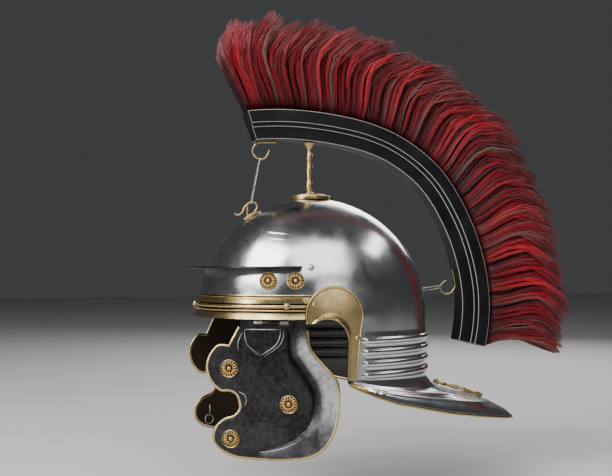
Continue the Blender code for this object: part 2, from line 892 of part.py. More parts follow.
def build_ear_rivets(label, side, material):
    """Builds the two rivets that hold an ear guard."""
    tail_y = EAR_ARCH_Y + EAR_ARCH_RADIUS + EAR_TAIL_WIDTH * 0.92
    spots = (
        ("upper", EAR_HEAD_Y - EAR_HEAD_RADIUS * 0.72, EAR_HEAD_Z + EAR_HEAD_RADIUS * 0.37),
        ("lower", tail_y, EAR_HEAD_Z - EAR_HEAD_RADIUS * 0.76),
    )
    for name, y, z in spots:
        point = side_point(y, z, EAR_LIFT + EAR_THICKNESS + CLEARANCE)
        normal = bowl_normal(side_point(y, z, 0.0))
        build_head(
            f"ear_rivet_{name}_{label}",
            mirrored(point, side),
            mirrored(normal, side),
            EAR_RIVET_RADIUS,
            EAR_RIVET_RADIUS * 0.8,
            material,
        )


# Neck guard fittings


def edge_frame(azimuth):
    """Returns the neck guard's edge point and the outward and upward directions across it."""
    edge = neck_rim(azimuth)
    inner = neck_point(azimuth, 0.93, 0.87, 0.0)
    step = 0.01
    start = ear_azimuth()
    low, high = max(start, azimuth - step), min(math.tau - start, azimuth + step)
    along = (neck_rim(high) - neck_rim(low)).normalized()
    outward = edge - inner
    outward = (outward - along * outward.dot(along)).normalized()
    upward = along.cross(outward)
    if upward.z < 0:
        upward = -upward
    return edge, outward, upward


def build_neck_trim(material):
    """Builds the brass bead along the neck guard's edge."""
    _, back = bowl_columns()
    rings = []
    for azimuth in [*back, math.tau - back[0]]:
        edge, outward, upward = edge_frame(azimuth)
        edge = edge - upward * STEEL / 2 + outward * CLEARANCE * 0.7
        high = STEEL / 2 + TRIM_LIP
        rings.append(
            [
                edge + outward * CLEARANCE + upward * high,
                edge + outward * (CLEARANCE + TRIM_WIDTH * 0.7) + upward * high * 0.8,
                edge + outward * (CLEARANCE + TRIM_WIDTH) - upward * high * 0.1,
                edge + outward * (CLEARANCE + TRIM_WIDTH * 0.7) - upward * high * 0.9,
                edge + outward * CLEARANCE - upward * high,
            ]
        )
    bm = bmesh.new()
    skin_rings(bm, rings)
    return add_object("neck_trim", bm, material)


def neck_azimuth(width, drop, y):
    """Returns the azimuth on the wearer's left where a line of the neck guard reaches a given Y."""
    low, high = ear_azimuth(), math.pi
    for _ in range(30):
        middle = (low + high) / 2
        if neck_point(middle, width, drop, 0.0).y < y:
            low = middle
        else:
            high = middle
    return low


def build_neck_studs(material):
    """Builds the pair of brass studs beside each ear on the neck guard."""
    width, drop = 0.80, 0.72
    for label, side in (("left", 1), ("right", -1)):
        for number in (1, 2):
            azimuth = neck_azimuth(width, drop, NECK_STUD_Y + NECK_STUD_PITCH * (number - 1))
            centre = neck_point(azimuth, width, drop, 0.0)
            ahead = neck_point(azimuth + 0.02, width, drop, 0.0) - centre
            out = neck_point(azimuth, width + 0.08, drop + 0.08, 0.0) - centre
            normal = ahead.cross(out).normalized()
            if normal.z < 0:
                normal = -normal
            point = centre + normal * CLEARANCE * 1.5
            name = f"neck_stud_{number}_{label}"
            radius = NECK_STUD_RADIUS
            build_head(name, mirrored(point, side), mirrored(normal, side), radius, radius * 0.8, material)


def guard_height(x, y):
    """Returns the neck guard's upper Z near the middle of the back, from its X and Y."""
    best = None
    for column in range(61):
        azimuth = math.pi - 0.9 + 0.9 * column / 60
        for row in range(41):
            width = row / 40
            drop = interpolate([(0.0, 0.0)] + [(line[0], line[1]) for line in NECK_ROWS], width)
            point = neck_point(azimuth, width, drop, 0.0)
            gap = (point.x - abs(x)) ** 2 + (point.y - y) ** 2
            if best is None or gap < best[0]:
                best = (gap, point.z)
    return best[1]


def build_handle(eyelet_material, material):
    """Builds the moulded carrying handle and the eyelets that hold its ends."""
    half, reach = HANDLE_HALF_WIDTH, HANDLE_REACH
    pin_end = half + HANDLE_END
    loop = HANDLE_PIN + EYELET_WIRE + 2 * CLEARANCE
    bar_y = HANDLE_Y + reach
    bar_z = max(guard_height(0, bar_y), guard_height(half, bar_y)) + HANDLE_BAR * 1.6 + 4 * CLEARANCE
    pivot_z = max(bar_z, guard_height(pin_end, HANDLE_Y) + loop + EYELET_WIRE + 2 * CLEARANCE)
    pivot = Vector((0, HANDLE_Y, pivot_z))
    empty = add_empty("handle_axis", pivot)
    left = [Vector((pin_end, HANDLE_Y, pivot_z))]
    for across, behind in HANDLE_ROWS:
        left.append(Vector((half * across, HANDLE_Y + reach * behind, pivot_z + (bar_z - pivot_z) * behind)))
    middle = Vector((0, bar_y, bar_z))
    path = smooth_path(left + [middle] + [mirrored(point, -1) for point in reversed(left)], 2)
    last = len(path) - 1
    radii = []
    for index in range(last + 1):
        share = min(index, last - index) / (last / 2)
        bulge = 0.55 * abs(math.sin(math.pi * 3.5 * share)) ** 2
        radii.append(HANDLE_PIN if share <= 0.15 else HANDLE_BAR * (0.85 + bulge))
    bm = bmesh.new()
    add_tube(bm, path, radii, sides=5)
    add_object("carrying_handle", bm, material, origin=pivot, parent=empty)
    for label, side in (("left", 1), ("right", -1)):
        x = half + EYELET_OUT
        foot = guard_height(x, HANDLE_Y) + CLEARANCE * 1.5
        centre = Vector((x, HANDLE_Y, pivot_z))
        path = [Vector((x, HANDLE_Y, foot)), Vector((x, HANDLE_Y, (foot + pivot_z - loop) / 2))]
        for step in range(11):
            turn = math.radians(-90 + 32 * step)
            path.append(centre + Vector((0, math.cos(turn), math.sin(turn))) * loop)
        bm = bmesh.new()
        add_tube(bm, [mirrored(point, side) for point in path], EYELET_WIRE, sides=5)
        add_object(f"handle_eyelet_{label}", bm, eyelet_material)


# Cheek guards


def hinge_frame():
    """Returns the hinge point and the rearward, outward and downward directions on the wearer's left."""
    azimuth = side_azimuth(HINGE_Y, BOWL_HEIGHT)
    skin = bowl_point(azimuth, BOWL_HEIGHT)
    outward = bowl_normal(skin)
    rearward = Vector((-outward.y, outward.x, 0)).normalized()
    point = skin - outward * (STEEL + HINGE_GAP)
    point.z = RIM_Z - HINGE_DROP
    return point, rearward, outward, Vector((0, 0, -1))


def fold_distance(u, v):
    """Returns how far a point of the cheek guard lies beyond the fold, towards the rear and bottom."""
    fold = [Vector((a * CHEEK_WIDTH, b * CHEEK_HEIGHT)) for a, b in CHEEK_FOLD]
    point = Vector((u, v))
    best = None
    for start, end in zip(fold, fold[1:]):
        span = end - start
        share = min(1.0, max(0.0, (point - start).dot(span) / span.dot(span)))
        offset = point - (start + span * share)
        beyond = offset.x * span.y - offset.y * span.x
        if best is None or offset.length < abs(best):
            best = math.copysign(offset.length, beyond)
    return max(0.0, best)


def cheek_bend(u, v):
    """Returns how far the flared border stands out of the cheek guard's plane."""
    share = min(1.0, fold_distance(u, v) / CHEEK_FLARE_WIDTH)
    ease = min(1.0, max(0.0, v / (CHEEK_HEIGHT * 0.35)))
    return CHEEK_FLARE * share**1.3 * ease


def cheek_point(u, v, lift, side):
    """Returns a point over the cheek guard's outer side from its place in the guard's plane."""
    point, rearward, outward, down = hinge_frame()
    place = point + rearward * u + down * v + outward * (cheek_bend(u, v) + lift)
    return mirrored(place, side)


def cheek_top():
    """Returns how far the cheek guard's top edge lies above the hinge axis."""
    return HINGE_DROP - 4 * CLEARANCE


def knuckle_ends():
    """Returns where the cheek guard's knuckle starts and ends along the axis."""
    return KNUCKLE_SHIFT - KNUCKLE_LENGTH / 2, KNUCKLE_SHIFT + KNUCKLE_LENGTH / 2


def cheek_curve():
    """Returns the cheek guard's free edge in its own plane, with the long spans halved."""
    points = [Vector((a * CHEEK_WIDTH, b * CHEEK_HEIGHT)) for a, b in CHEEK_EDGE]
    fine = smooth_path(points, 2)
    curve = []
    for index, point in enumerate(fine):
        span = (points[min(index // 2 + 1, len(points) - 1)] - points[index // 2]).length
        if index % 2 == 0 or span > CHEEK_EDGE_STEP:
            curve.append(point)
    return curve


def cheek_front_corner():
    """Returns the point where the cheek guard's front edge reaches the top."""
    return Vector((-0.270 * CHEEK_WIDTH, 0.03 * CHEEK_HEIGHT))


def cheek_outline():
    """Returns the cheek guard's free edge, and the corners of its top edge with the hinge's notches."""
    curve = cheek_curve()
    top = -cheek_top()
    low, high = knuckle_ends()
    notch = LEAF_KNUCKLE + 3 * CLEARANCE
    deep = KNUCKLE_RADIUS + 2 * CLEARANCE
    step = 2 * CLEARANCE
    corners = [
        cheek_front_corner(),
        (-0.276 * CHEEK_WIDTH, top),
        (low - notch, top),
        (low - notch, deep),
        (low + step, deep),
        (low + step, top / 2),
        (high - step, top / 2),
        (high - step, deep),
        (high + notch, deep),
        (high + notch, top),
        (0.238 * CHEEK_WIDTH, top),
    ]
    return curve, [Vector(corner) for corner in corners]


def slice_flat(bm, point, normal):
    """Cuts the faces of a flat sheet along a line, so that it can bend there."""
    geometry = bm.verts[:] + bm.edges[:] + bm.faces[:]
    bmesh.ops.bisect_plane(bm, geom=geometry, dist=1e-6, plane_co=point, plane_no=normal)


def build_cheek_guard(name, side, material, empty):
    """Builds a cheek guard: a flared plate with a knuckle round the hinge pin."""
    curve, corners = cheek_outline()
    bm = bmesh.new()
    bm.faces.new([bm.verts.new((p.x, p.y, 0)) for p in curve + corners])
    for number in range(1, 5):
        slice_flat(bm, Vector((CHEEK_WIDTH * (-0.52 + number / 5), 0, 0)), Vector((1, 0, 0)))
    for number in range(1, 6):
        slice_flat(bm, Vector((0, CHEEK_HEIGHT * (0.05 + number / 6.3), 0)), Vector((0, 1, 0)))
    bmesh.ops.triangulate(bm, faces=bm.faces)
    outer = {vert: (vert.co.x, vert.co.y) for vert in bm.verts}
    boundary = [edge for edge in bm.edges if edge.is_boundary]
    inner = {}
    for vert, (u, v) in outer.items():
        inner[vert] = bm.verts.new(cheek_point(u, v, -CHEEK_STEEL / 2, side))
    for face in list(bm.faces):
        bm.faces.new([inner[vert] for vert in reversed(face.verts)])
    for edge in boundary:
        first, second = edge.verts
        bm.faces.new((first, second, inner[second], inner[first]))
    for vert, (u, v) in outer.items():
        vert.co = cheek_point(u, v, CHEEK_STEEL / 2, side)
    guard = add_object(name, bm, material, origin=empty.location.copy(), parent=empty)
    bpy.context.view_layer.update()
    low, high = knuckle_ends()
    point, rearward, _, _ = hinge_frame()
    barrel = bmesh.new()
    ends = [mirrored(point + rearward * at, side) for at in (low, high)]
    add_tube(barrel, ends, KNUCKLE_RADIUS, sides=10)
    combine(guard, add_cutter(f"{name}_barrel", barrel), "UNION")
    bore = bmesh.new()
    margin = 4 * CLEARANCE
    ends = [mirrored(point + rearward * at, side) for at in (low - margin, high + margin)]
    add_tube(bore, ends, PIN_RADIUS + CLEARANCE * 1.4, sides=10)
    combine(guard, add_cutter(f"{name}_bore", bore), "DIFFERENCE")
    return guard


def build_hinge_leaf(name, side, material):
    """Builds the fixed half of a cheek hinge, inside the bowl: a leaf with two knuckles and the pin."""
    point, rearward, outward, down = hinge_frame()
    low, high = knuckle_ends()
    first, last = low - CLEARANCE - LEAF_KNUCKLE, high + CLEARANCE + LEAF_KNUCKLE
    stations = (
        (first, KNUCKLE_RADIUS),
        (low - CLEARANCE, KNUCKLE_RADIUS),
        (low - CLEARANCE, PIN_RADIUS),
        (high + CLEARANCE, PIN_RADIUS),
        (high + CLEARANCE, KNUCKLE_RADIUS),
        (last, KNUCKLE_RADIUS),
    )
    rings = []
    for at, radius in stations:
        ring = []
        for index in range(10):
            turn = math.tau * index / 10
            spot = point + rearward * at + (outward * math.cos(turn) + down * math.sin(turn)) * radius
            ring.append(mirrored(spot, side))
        rings.append(ring)
    bm = bmesh.new()
    skin_rings(bm, rings)
    leaf = add_object(name, bm, material)
    bpy.context.view_layer.update()
    foot = KNUCKLE_RADIUS + 2 * CLEARANCE
    gap_low, gap_high = low - CLEARANCE - LEAF_STEP, high + CLEARANCE + LEAF_STEP
    outline = (
        (first + LEAF_STEP, 0.0),
        (gap_low, 0.0),
        (gap_low, foot),
        (gap_high, foot),
        (gap_high, 0.0),
        (last - LEAF_STEP, 0.0),
        (last - LEAF_STEP, LEAF_HEIGHT),
        (first + LEAF_STEP, LEAF_HEIGHT),
    )
    plate = bmesh.new()
    faces = []
    face = KNUCKLE_RADIUS - LEAF_OVERLAP
    for depth in (face, face + LEAF_THICKNESS):
        faces.append([mirrored(point + rearward * u - down * v - outward * depth, side) for u, v in outline])
    skin_rings(plate, faces)
    combine(leaf, add_cutter(f"{name}_plate", plate), "UNION")
    return leaf


def build_cheek_trim(name, side, material, empty):
    """Builds the brass bead round the cheek guard's free edge."""
    curve = cheek_curve()
    curve.append(curve[-1].lerp(cheek_front_corner(), 0.94))
    half = CHEEK_STEEL / 2 + CHEEK_TRIM_LIP
    rings = []
    for index, here in enumerate(curve):
        before = curve[max(index - 1, 0)]
        after = curve[min(index + 1, len(curve) - 1)]
        along = (after - before).normalized()
        out = Vector((along.y, -along.x))
        near, far = here + out * CLEARANCE * 1.3, here + out * (CLEARANCE * 1.3 + CHEEK_TRIM)
        rings.append(
            [
                cheek_point(near.x, near.y, half, side),
                cheek_point(far.x, far.y, half * 0.7, side),
                cheek_point(far.x, far.y, -half * 0.7, side),
                cheek_point(near.x, near.y, -half, side),
            ]
        )
    bm = bmesh.new()
    skin_rings(bm, rings)
    return add_object(name, bm, material, origin=empty.location.copy(), parent=empty)


def rosette_profile():
    """Returns the turned profile of a rosette: a rim, a dished field and a boss."""
    shares = ((1.0, 0.0), (1.0, 0.42), (0.84, 0.58), (0.42, 0.34), (0.2, 0.86))
    rows = [(ROSETTE_RADIUS * radius, ROSETTE_HEIGHT * height) for radius, height in shares]
    return [(0, 0), *rows, (0, ROSETTE_HEIGHT)]


def build_rosette(name, point, normal, material, origin=None, parent=None):
    """Builds a rosette whose flat back is at the point."""
    bm = bmesh.new()
    add_turned(bm, rosette_profile(), 10, frame_at(point, normal))
    return add_object(name, bm, material, origin=origin, parent=parent)


def build_bowl_rosettes(material):
    """Builds two rosettes over each temple."""
    depth = BOWL_HEIGHT - BOWL_ROSETTE_RISE
    for label, side in (("left", 1), ("right", -1)):
        for name, y in BOWL_ROSETTE_Y:
            azimuth = side_azimuth(y, depth)
            normal = bowl_normal(bowl_point(azimuth, depth))
            point = bowl_point(azimuth, depth, CLEARANCE)
            full_name = f"bowl_rosette_{name}_{label}"
            build_rosette(full_name, mirrored(point, side), mirrored(normal, side), material)


def build_cheek_fittings(label, side, brass, iron, empty):
    """Builds a cheek guard's three rosettes and the staple and ring for its chin tie."""
    _, _, outward, _ = hinge_frame()
    origin = empty.location.copy()
    for name, a, b in CHEEK_ROSETTES:
        place = cheek_point(a * CHEEK_WIDTH, b * CHEEK_HEIGHT, CHEEK_STEEL / 2 + CLEARANCE, side)
        build_rosette(f"cheek_rosette_{name}_{label}", place, mirrored(outward, side), brass, origin, empty)
    u, v = TIE_STAPLE_AT[0] * CHEEK_WIDTH, TIE_STAPLE_AT[1] * CHEEK_HEIGHT
    face = -CHEEK_STEEL / 2
    ring_lift = face - CLEARANCE - TIE_WIRE * 1.2
    bar_lift = ring_lift - 2 * TIE_WIRE - 1.3 * CLEARANCE
    foot_lift = face - 1.3 * CLEARANCE
    route = [
        cheek_point(u, v, foot_lift, side),
        cheek_point(u, v, ring_lift - TIE_WIRE, side),
        cheek_point(u, v + TIE_STAPLE_BEND, bar_lift, side),
        cheek_point(u, v + TIE_STAPLE - TIE_STAPLE_BEND, bar_lift, side),
        cheek_point(u, v + TIE_STAPLE, ring_lift - TIE_WIRE, side),
        cheek_point(u, v + TIE_STAPLE, foot_lift, side),
    ]
    bm = bmesh.new()
    add_tube(bm, route, TIE_WIRE, sides=5)
    add_object(f"tie_staple_{label}", bm, iron, origin, empty)
    hang = v + TIE_STAPLE - 2 * TIE_WIRE - 1.3 * CLEARANCE + TIE_RING_RADIUS
    ring = []
    for step in range(10):
        turn = math.tau * step / 10
        across, along = TIE_RING_RADIUS * math.sin(turn), TIE_RING_RADIUS * math.cos(turn)
        ring.append(cheek_point(u + across, hang - along, ring_lift, side))
    bm = bmesh.new()
    add_tube(bm, ring, TIE_WIRE, sides=5, closed=True)
    add_object(f"tie_ring_{label}", bm, iron, origin, empty)


# Crest


def crest_point(angle, inset, x=0.0):
    """Returns a point of the crest from its angle above the horizontal and its depth under the top."""
    radius = CREST_RADIUS * interpolate_smooth(CREST_ROWS, angle) - inset
    turn = math.radians(angle)
    return Vector((x, CREST_CENTRE_Y + radius * math.cos(turn), CREST_CENTRE_Z + radius * math.sin(turn)))


def interpolate_smooth(rows, at):
    """Returns the second column of a table, read at a value of the first by a smooth curve."""
    if at <= rows[0][0]:
        return rows[0][1]
    if at >= rows[-1][0]:
        return rows[-1][1]
    for index in range(len(rows) - 1):
        if at <= rows[index + 1][0]:
            break
    before = rows[max(index - 1, 0)][1]
    after = rows[min(index + 2, len(rows) - 1)][1]
    low, high = rows[index][1], rows[index + 1][1]
    t = (at - rows[index][0]) / (rows[index + 1][0] - rows[index][0])
    return 0.5 * (
        2 * low
        + (high - before) * t
        + (2 * before - 5 * low + 4 * high - after) * t * t
        + (3 * low - before - 3 * high + after) * t**3
    )


def build_crest_box(material):
    """Builds the stepped crest box that carries the plume."""
    half, keel = CREST_HALF_WIDTH, KEEL_HALF_WIDTH
    lip = (half + keel) / 2
    outline = (
        (half, 0.0),
        (half, LEDGE_DEPTH),
        (lip, LEDGE_DEPTH),
        (lip, LEDGE_DEPTH + LIP_DEPTH),
        (keel, LEDGE_DEPTH + LIP_DEPTH),
        (keel, CREST_DEPTH),
    )
    steps = 18
    rings = []
    for step in range(steps + 1):
        angle = CREST_FRONT_ANGLE + (CREST_REAR_ANGLE - CREST_FRONT_ANGLE) * step / steps
        ring = [crest_point(angle, inset, x) for x, inset in outline]
        ring += [crest_point(angle, inset, -x) for x, inset in reversed(outline)]
        rings.append(ring)
    bm = bmesh.new()
    skin_rings(bm, rings)
    return add_object("crest_box", bm, material)


def lock_wave(angle):
    """Returns a wave with one crest for each lock of hair along the crest."""
    pitch = (CREST_FRONT_ANGLE - CREST_REAR_ANGLE) / (PLUME_SECTIONS * PLUME_LOCKS)
    return math.cos(math.tau * (CREST_FRONT_ANGLE - angle) / pitch + math.pi)


def hair_point(angle, height, side):
    """Returns a point on the plume's side; its hair leans forward, curls back and lifts at the rear end."""
    jag = math.sin(angle * 0.31 + 1.1) * 0.6 + math.sin(angle * 0.83) * 0.4
    length = PLUME_HEIGHT + PLUME_JAG * (jag + 0.5 * lock_wave(angle))
    rear = min(1.0, max(0.0, (PLUME_SAG_START - angle) / (PLUME_SAG_START - CREST_REAR_ANGLE)))
    lean = PLUME_LEAN * math.sin(math.pi * min(1.0, height * 1.15))
    curl = PLUME_CURL * height**2.6
    sag = PLUME_SAG * rear * math.sin(math.pi * height * 0.9)
    last = max(0.0, (PLUME_LIFT_START - angle) / (PLUME_LIFT_START - CREST_REAR_ANGLE))
    lift = PLUME_LIFT * last**1.5 * (1 - (1 - height) ** 4)
    forward = lean - curl * (1 - 0.4 * rear) - sag + lift
    root = crest_point(angle, 0.0)
    centre = Vector((0, CREST_CENTRE_Y, CREST_CENTRE_Z))
    out = (root - centre).normalized()
    ahead = Vector((0, -out.z, out.y))
    groove = 1 + 0.13 * lock_wave(angle) * min(1.0, height * 3)
    x = PLUME_HALF_WIDTH * interpolate(PLUME_WIDTHS, height) * groove * side
    return root + out * (CLEARANCE + length * height) + ahead * forward + Vector((x, 0, 0))


def build_plume(material):
    """Builds the plume as runs of locks, each fused along its foot, side by side on the crest box."""
    gap = math.degrees(CLEARANCE / CREST_RADIUS)
    sweep = (CREST_FRONT_ANGLE - CREST_REAR_ANGLE) / PLUME_SECTIONS
    heights = [height for height, _ in PLUME_WIDTHS]
    columns = PLUME_LOCKS * 2
    for section in range(PLUME_SECTIONS):
        start = CREST_FRONT_ANGLE - sweep * section - gap / 2
        end = start - sweep + gap
        rings = []
        for column in range(columns + 1):
            angle = start + (end - start) * column / columns
            ring = [hair_point(angle, height, 1) for height in heights]
            ring += [hair_point(angle, height, -1) for height in reversed(heights)]
            rings.append(ring)
        bm = bmesh.new()
        skin_strip_ends(bm, skin_rings(bm, rings, cap_ends=False))
        add_object(f"plume_{section + 1}", bm, material)


def build_base_plate(material):
    """Builds the stepped brass plate on the crown."""
    radius, upper, height = PLATE_RADIUS, PLATE_UPPER_RADIUS, PLATE_HEIGHT
    along = BOWL_HEIGHT * (1 - math.sqrt(1 - (radius / BOWL_REAR) ** 2))
    mid = BOWL_HEIGHT * (1 - math.sqrt(1 - (radius * 0.55 / BOWL_REAR) ** 2))
    base = CROWN_Z + CLEARANCE
    low = base - along
    profile = (
        (0, base),
        (radius * 0.55, base - mid * 0.9),
        (radius, low),
        (radius, low + height * 0.9),
        (radius * 0.95, low + height * 1.15),
        (upper * 1.02, low + height * 1.15),
        (upper, base + height * 0.75),
        (upper * 0.95, base + height),
        (0, base + height),
    )
    bm = bmesh.new()
    add_turned(bm, profile, 14, Matrix.Identity(4))
    return add_object("crest_base_plate", bm, material)


def build_post(material):
    """Builds the moulded post between the base plate and the crest box."""
    foot = CROWN_Z + CLEARANCE + PLATE_HEIGHT + CLEARANCE
    under = min(crest_point(angle, CREST_DEPTH).z for angle in (91, 90, 89, 88))
    top = under - CLEARANCE * 2
    length = top - foot
    profile = [(0, foot)] + [(POST_RADIUS * r, foot + length * h) for h, r in POST_ROWS] + [(0, top)]
    bm = bmesh.new()
    add_turned(bm, profile, 8, Matrix.Identity(4))
    return add_object("crest_post", bm, material)


def wire_path(start, size, rows):
    """Returns points in the middle plane from (behind, above) shares of a size."""
    return [Vector((0, start.y + size * behind, start.z + size * above)) for behind, above in rows]


def add_hook_plate(hook, azimuth, top, drop):
    """Joins the plate that a bowl hook is riveted on, which follows the bowl in the middle plane."""
    half = HOOK_PLATE_HALF_WIDTH
    sag = half * half / (2 * BOWL_HALF_WIDTH)
    rings = []
    for share in (0.0, 0.33, 0.67, 1.0):
        surface = bowl_point(azimuth, top + drop * share)
        out = bowl_normal(surface)
        width = half * (0.55 if share in (0.0, 1.0) else 1.0)
        inner, outer = surface + out * CLEARANCE, surface + out * (CLEARANCE + HOOK_PLATE_THICKNESS)
        rings.append(
            [
                inner + Vector((-width, 0, 0)),
                inner + Vector((width, 0, 0)),
                outer + Vector((width, 0, -sag * out.z)),
                outer + Vector((-width, 0, -sag * out.z)),
            ]
        )
    plate = bmesh.new()
    skin_rings(plate, rings)
    combine(hook, add_cutter(f"{hook.name}_plate", plate), "UNION")


def build_link(name, first, last, spread, narrow, wide, material):
    """Builds a long wire link between two eyes, as a closed loop across the given direction."""
    along = last - first
    across = (spread - along * spread.dot(along) / along.dot(along)).normalized()
    inner = along.normalized()
    loop = [
        first,
        first + across * narrow * 0.8 + inner * narrow * 0.35,
        first + across * narrow + inner * narrow * 1.3,
        last + across * wide - inner * wide * 1.3,
        last + across * wide * 0.8 - inner * wide * 0.35,
        last,
        last - across * wide * 0.8 - inner * wide * 0.35,
        last - across * wide - inner * wide * 1.3,
        first - across * narrow + inner * narrow * 1.3,
        first - across * narrow * 0.8 + inner * narrow * 0.35,
    ]
    bm = bmesh.new()
    add_tube(bm, loop, LINK_WIRE, sides=5, closed=True)
    return add_object(name, bm, material)


def build_front_tie(brass, iron):
    """Builds the hook under the crest's front end, the long link and the hook on the bowl."""
    seat = CREST_DEPTH + CLEARANCE * 4 + HOOK_WIRE
    strip = [crest_point(angle, seat) for angle in (101.0, 104.5, 107.4)]
    hook = wire_path(strip[-1], FRONT_HOOK_DROP, FRONT_HOOK_ROWS)
    bm = bmesh.new()
    add_tube(bm, smooth_path(strip + hook, 2), HOOK_WIRE, sides=5)
    add_object("crest_hook_front", bm, brass)
    foot = bowl_point(0, FRONT_EYE_DEPTH)
    eye = wire_path(foot, FRONT_EYE_HEIGHT, FRONT_EYE_ROWS)
    bm = bmesh.new()
    add_tube(bm, smooth_path(eye, 2), HOOK_WIRE, sides=5)
    bowl_hook = add_object("bowl_hook_front", bm, brass)
    add_hook_plate(bowl_hook, 0, FRONT_EYE_DEPTH - HOOK_PLATE_THICKNESS, FRONT_PLATE_DROP)
    leg = bmesh.new()
    leg_foot = bowl_point(0, FRONT_EYE_DEPTH + FRONT_PLATE_DROP / 2, CLEARANCE + HOOK_PLATE_THICKNESS / 2)
    add_tube(leg, [leg_foot, eye[4]], HOOK_WIRE * 0.8, sides=5)
    combine(bowl_hook, add_cutter("bowl_hook_front_leg", leg), "UNION")
    slack = Vector((0, 0, HOOK_WIRE + LINK_WIRE + CLEARANCE * 2))
    top, bottom = hook[3] + slack, eye[3] - slack
    build_link("crest_link_front", top, bottom, Vector((1, 0, 0)), LINK_NARROW, LINK_WIDE, iron)


def build_rear_tie(brass, iron):
    """Builds the eye on the back of the bowl, the short link and the hook on the crest's rear end."""
    depth = BOWL_HEIGHT - REAR_EYE_RISE
    eye = wire_path(bowl_point(math.pi, depth), REAR_EYE_REACH, REAR_EYE_ROWS)
    bm = bmesh.new()
    add_tube(bm, smooth_path(eye, 2), HOOK_WIRE, sides=5)
    bowl_hook = add_object("bowl_hook_rear", bm, brass)
    add_hook_plate(bowl_hook, math.pi, depth - REAR_PLATE_DROP / 2, REAR_PLATE_DROP)
    seat = CREST_DEPTH + CLEARANCE * 4 + HOOK_WIRE
    strip = [crest_point(angle, seat) for angle in (12.0, 9.0, 6.0)]
    hook = wire_path(strip[-1], REAR_HOOK_REACH, REAR_HOOK_ROWS)
    bm = bmesh.new()
    add_tube(bm, smooth_path(strip + hook, 2), HOOK_WIRE, sides=5)
    add_object("crest_hook_rear", bm, brass)
    slack = Vector((0, HOOK_WIRE + LINK_WIRE + CLEARANCE * 2, 0))
    near, far = eye[2].lerp(eye[3], 0.5), hook[4]
    build_link("crest_link_rear", near - slack, far + slack, Vector((1, 0, 0.75)), LINK_REAR, LINK_REAR, iron)


def main():
    clear_scene()
    steel = make_material("polished steel", (0.62, 0.63, 0.65), 1.0, 0.18)
    dark_steel = make_material("dark steel", (0.16, 0.165, 0.175), 1.0, 0.38)
    brass = make_material("brass", (0.62, 0.47, 0.24), 1.0, 0.3)
    black = make_material("black lacquer", (0.012, 0.012, 0.013), 0.0, 0.35)
    hair = make_material("red hair", (0.30, 0.012, 0.02), 0.0, 0.6)
    iron = make_material("iron wire", (0.33, 0.31, 0.28), 1.0, 0.4)

    build_bowl(steel)
    build_brow_guard(steel)
    build_brow_bolts(steel)
    build_brow_band(brass)
    build_band_studs(brass)
    build_neck_trim(brass)
    build_neck_studs(brass)
    build_bowl_rosettes(brass)
    for label, side in (("left", 1), ("right", -1)):
        build_ear_guard(f"ear_guard_{label}", side, brass)
        build_ear_rivets(label, side, brass)
        hinge = add_empty(f"cheek_axis_{label}", mirrored(hinge_frame()[0], side))
        build_hinge_leaf(f"cheek_hinge_{label}", side, iron)
        build_cheek_guard(f"cheek_guard_{label}", side, dark_steel, hinge)
        build_cheek_trim(f"cheek_trim_{label}", side, brass, hinge)
        build_cheek_fittings(label, side, brass, iron, hinge)
    build_handle(iron, brass)
    build_base_plate(brass)
    build_post(brass)
    build_crest_box(black)
    build_plume(hair)
    build_front_tie(brass, iron)
    build_rear_tie(brass, iron)


main()
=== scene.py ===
import logging
import math
from dataclasses import dataclass, field
from enum import Enum

import bmesh
import bpy
import numpy as np
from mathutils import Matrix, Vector


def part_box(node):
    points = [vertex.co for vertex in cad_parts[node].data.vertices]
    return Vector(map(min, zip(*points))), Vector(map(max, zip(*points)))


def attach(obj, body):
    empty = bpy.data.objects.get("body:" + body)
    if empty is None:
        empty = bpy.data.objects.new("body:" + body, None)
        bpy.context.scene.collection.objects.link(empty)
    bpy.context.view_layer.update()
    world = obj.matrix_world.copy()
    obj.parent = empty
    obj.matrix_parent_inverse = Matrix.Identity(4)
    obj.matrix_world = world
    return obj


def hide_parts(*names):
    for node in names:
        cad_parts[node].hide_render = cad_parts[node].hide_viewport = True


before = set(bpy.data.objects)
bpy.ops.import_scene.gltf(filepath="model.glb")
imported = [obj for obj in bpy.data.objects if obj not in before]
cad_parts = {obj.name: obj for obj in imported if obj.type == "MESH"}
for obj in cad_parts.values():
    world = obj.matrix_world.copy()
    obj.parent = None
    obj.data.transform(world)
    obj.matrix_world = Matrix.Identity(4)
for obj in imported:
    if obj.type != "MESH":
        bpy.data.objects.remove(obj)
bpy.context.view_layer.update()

MM = 0.001
CLEARANCE = 0.3 * MM
STEEL = 1.6 * MM
UP = np.array([0, 0, 1.0])
Array = np.ndarray
Triple = tuple[float, float, float]
Rows = tuple[tuple[float, ...], ...]
Profile = list[tuple[float, float]]
Socket = bpy.types.NodeSocket
Material = bpy.types.Material

log = logging.getLogger("helmet")


class Side(Enum):
    """The wearer's two sides, with the sign of X on each."""

    LEFT = 1
    RIGHT = -1

    @property
    def label(self) -> str:
        """Returns the word that the side's node names end in."""
        return self.name.lower()


class Body(Enum):
    """The bodies that pieces ride on."""

    HELMET = "helmet"
    CHEEK_LEFT = "cheek_left"
    CHEEK_RIGHT = "cheek_right"
    HANDLE = "handle"

    @classmethod
    def cheek(cls, side: Side) -> "Body":
        """Returns the body of one side's cheek guard."""
        return cls.CHEEK_LEFT if side is Side.LEFT else cls.CHEEK_RIGHT


class Slot(Enum):
    """The record's material slots."""

    STEEL = "polished_steel"
    DARK_STEEL = "dark_steel"
    BRASS = "brass"
    LACQUER = "black_lacquer"
    HAIR = "red_hair"
    IRON = "iron_wire"


# Curves and frames


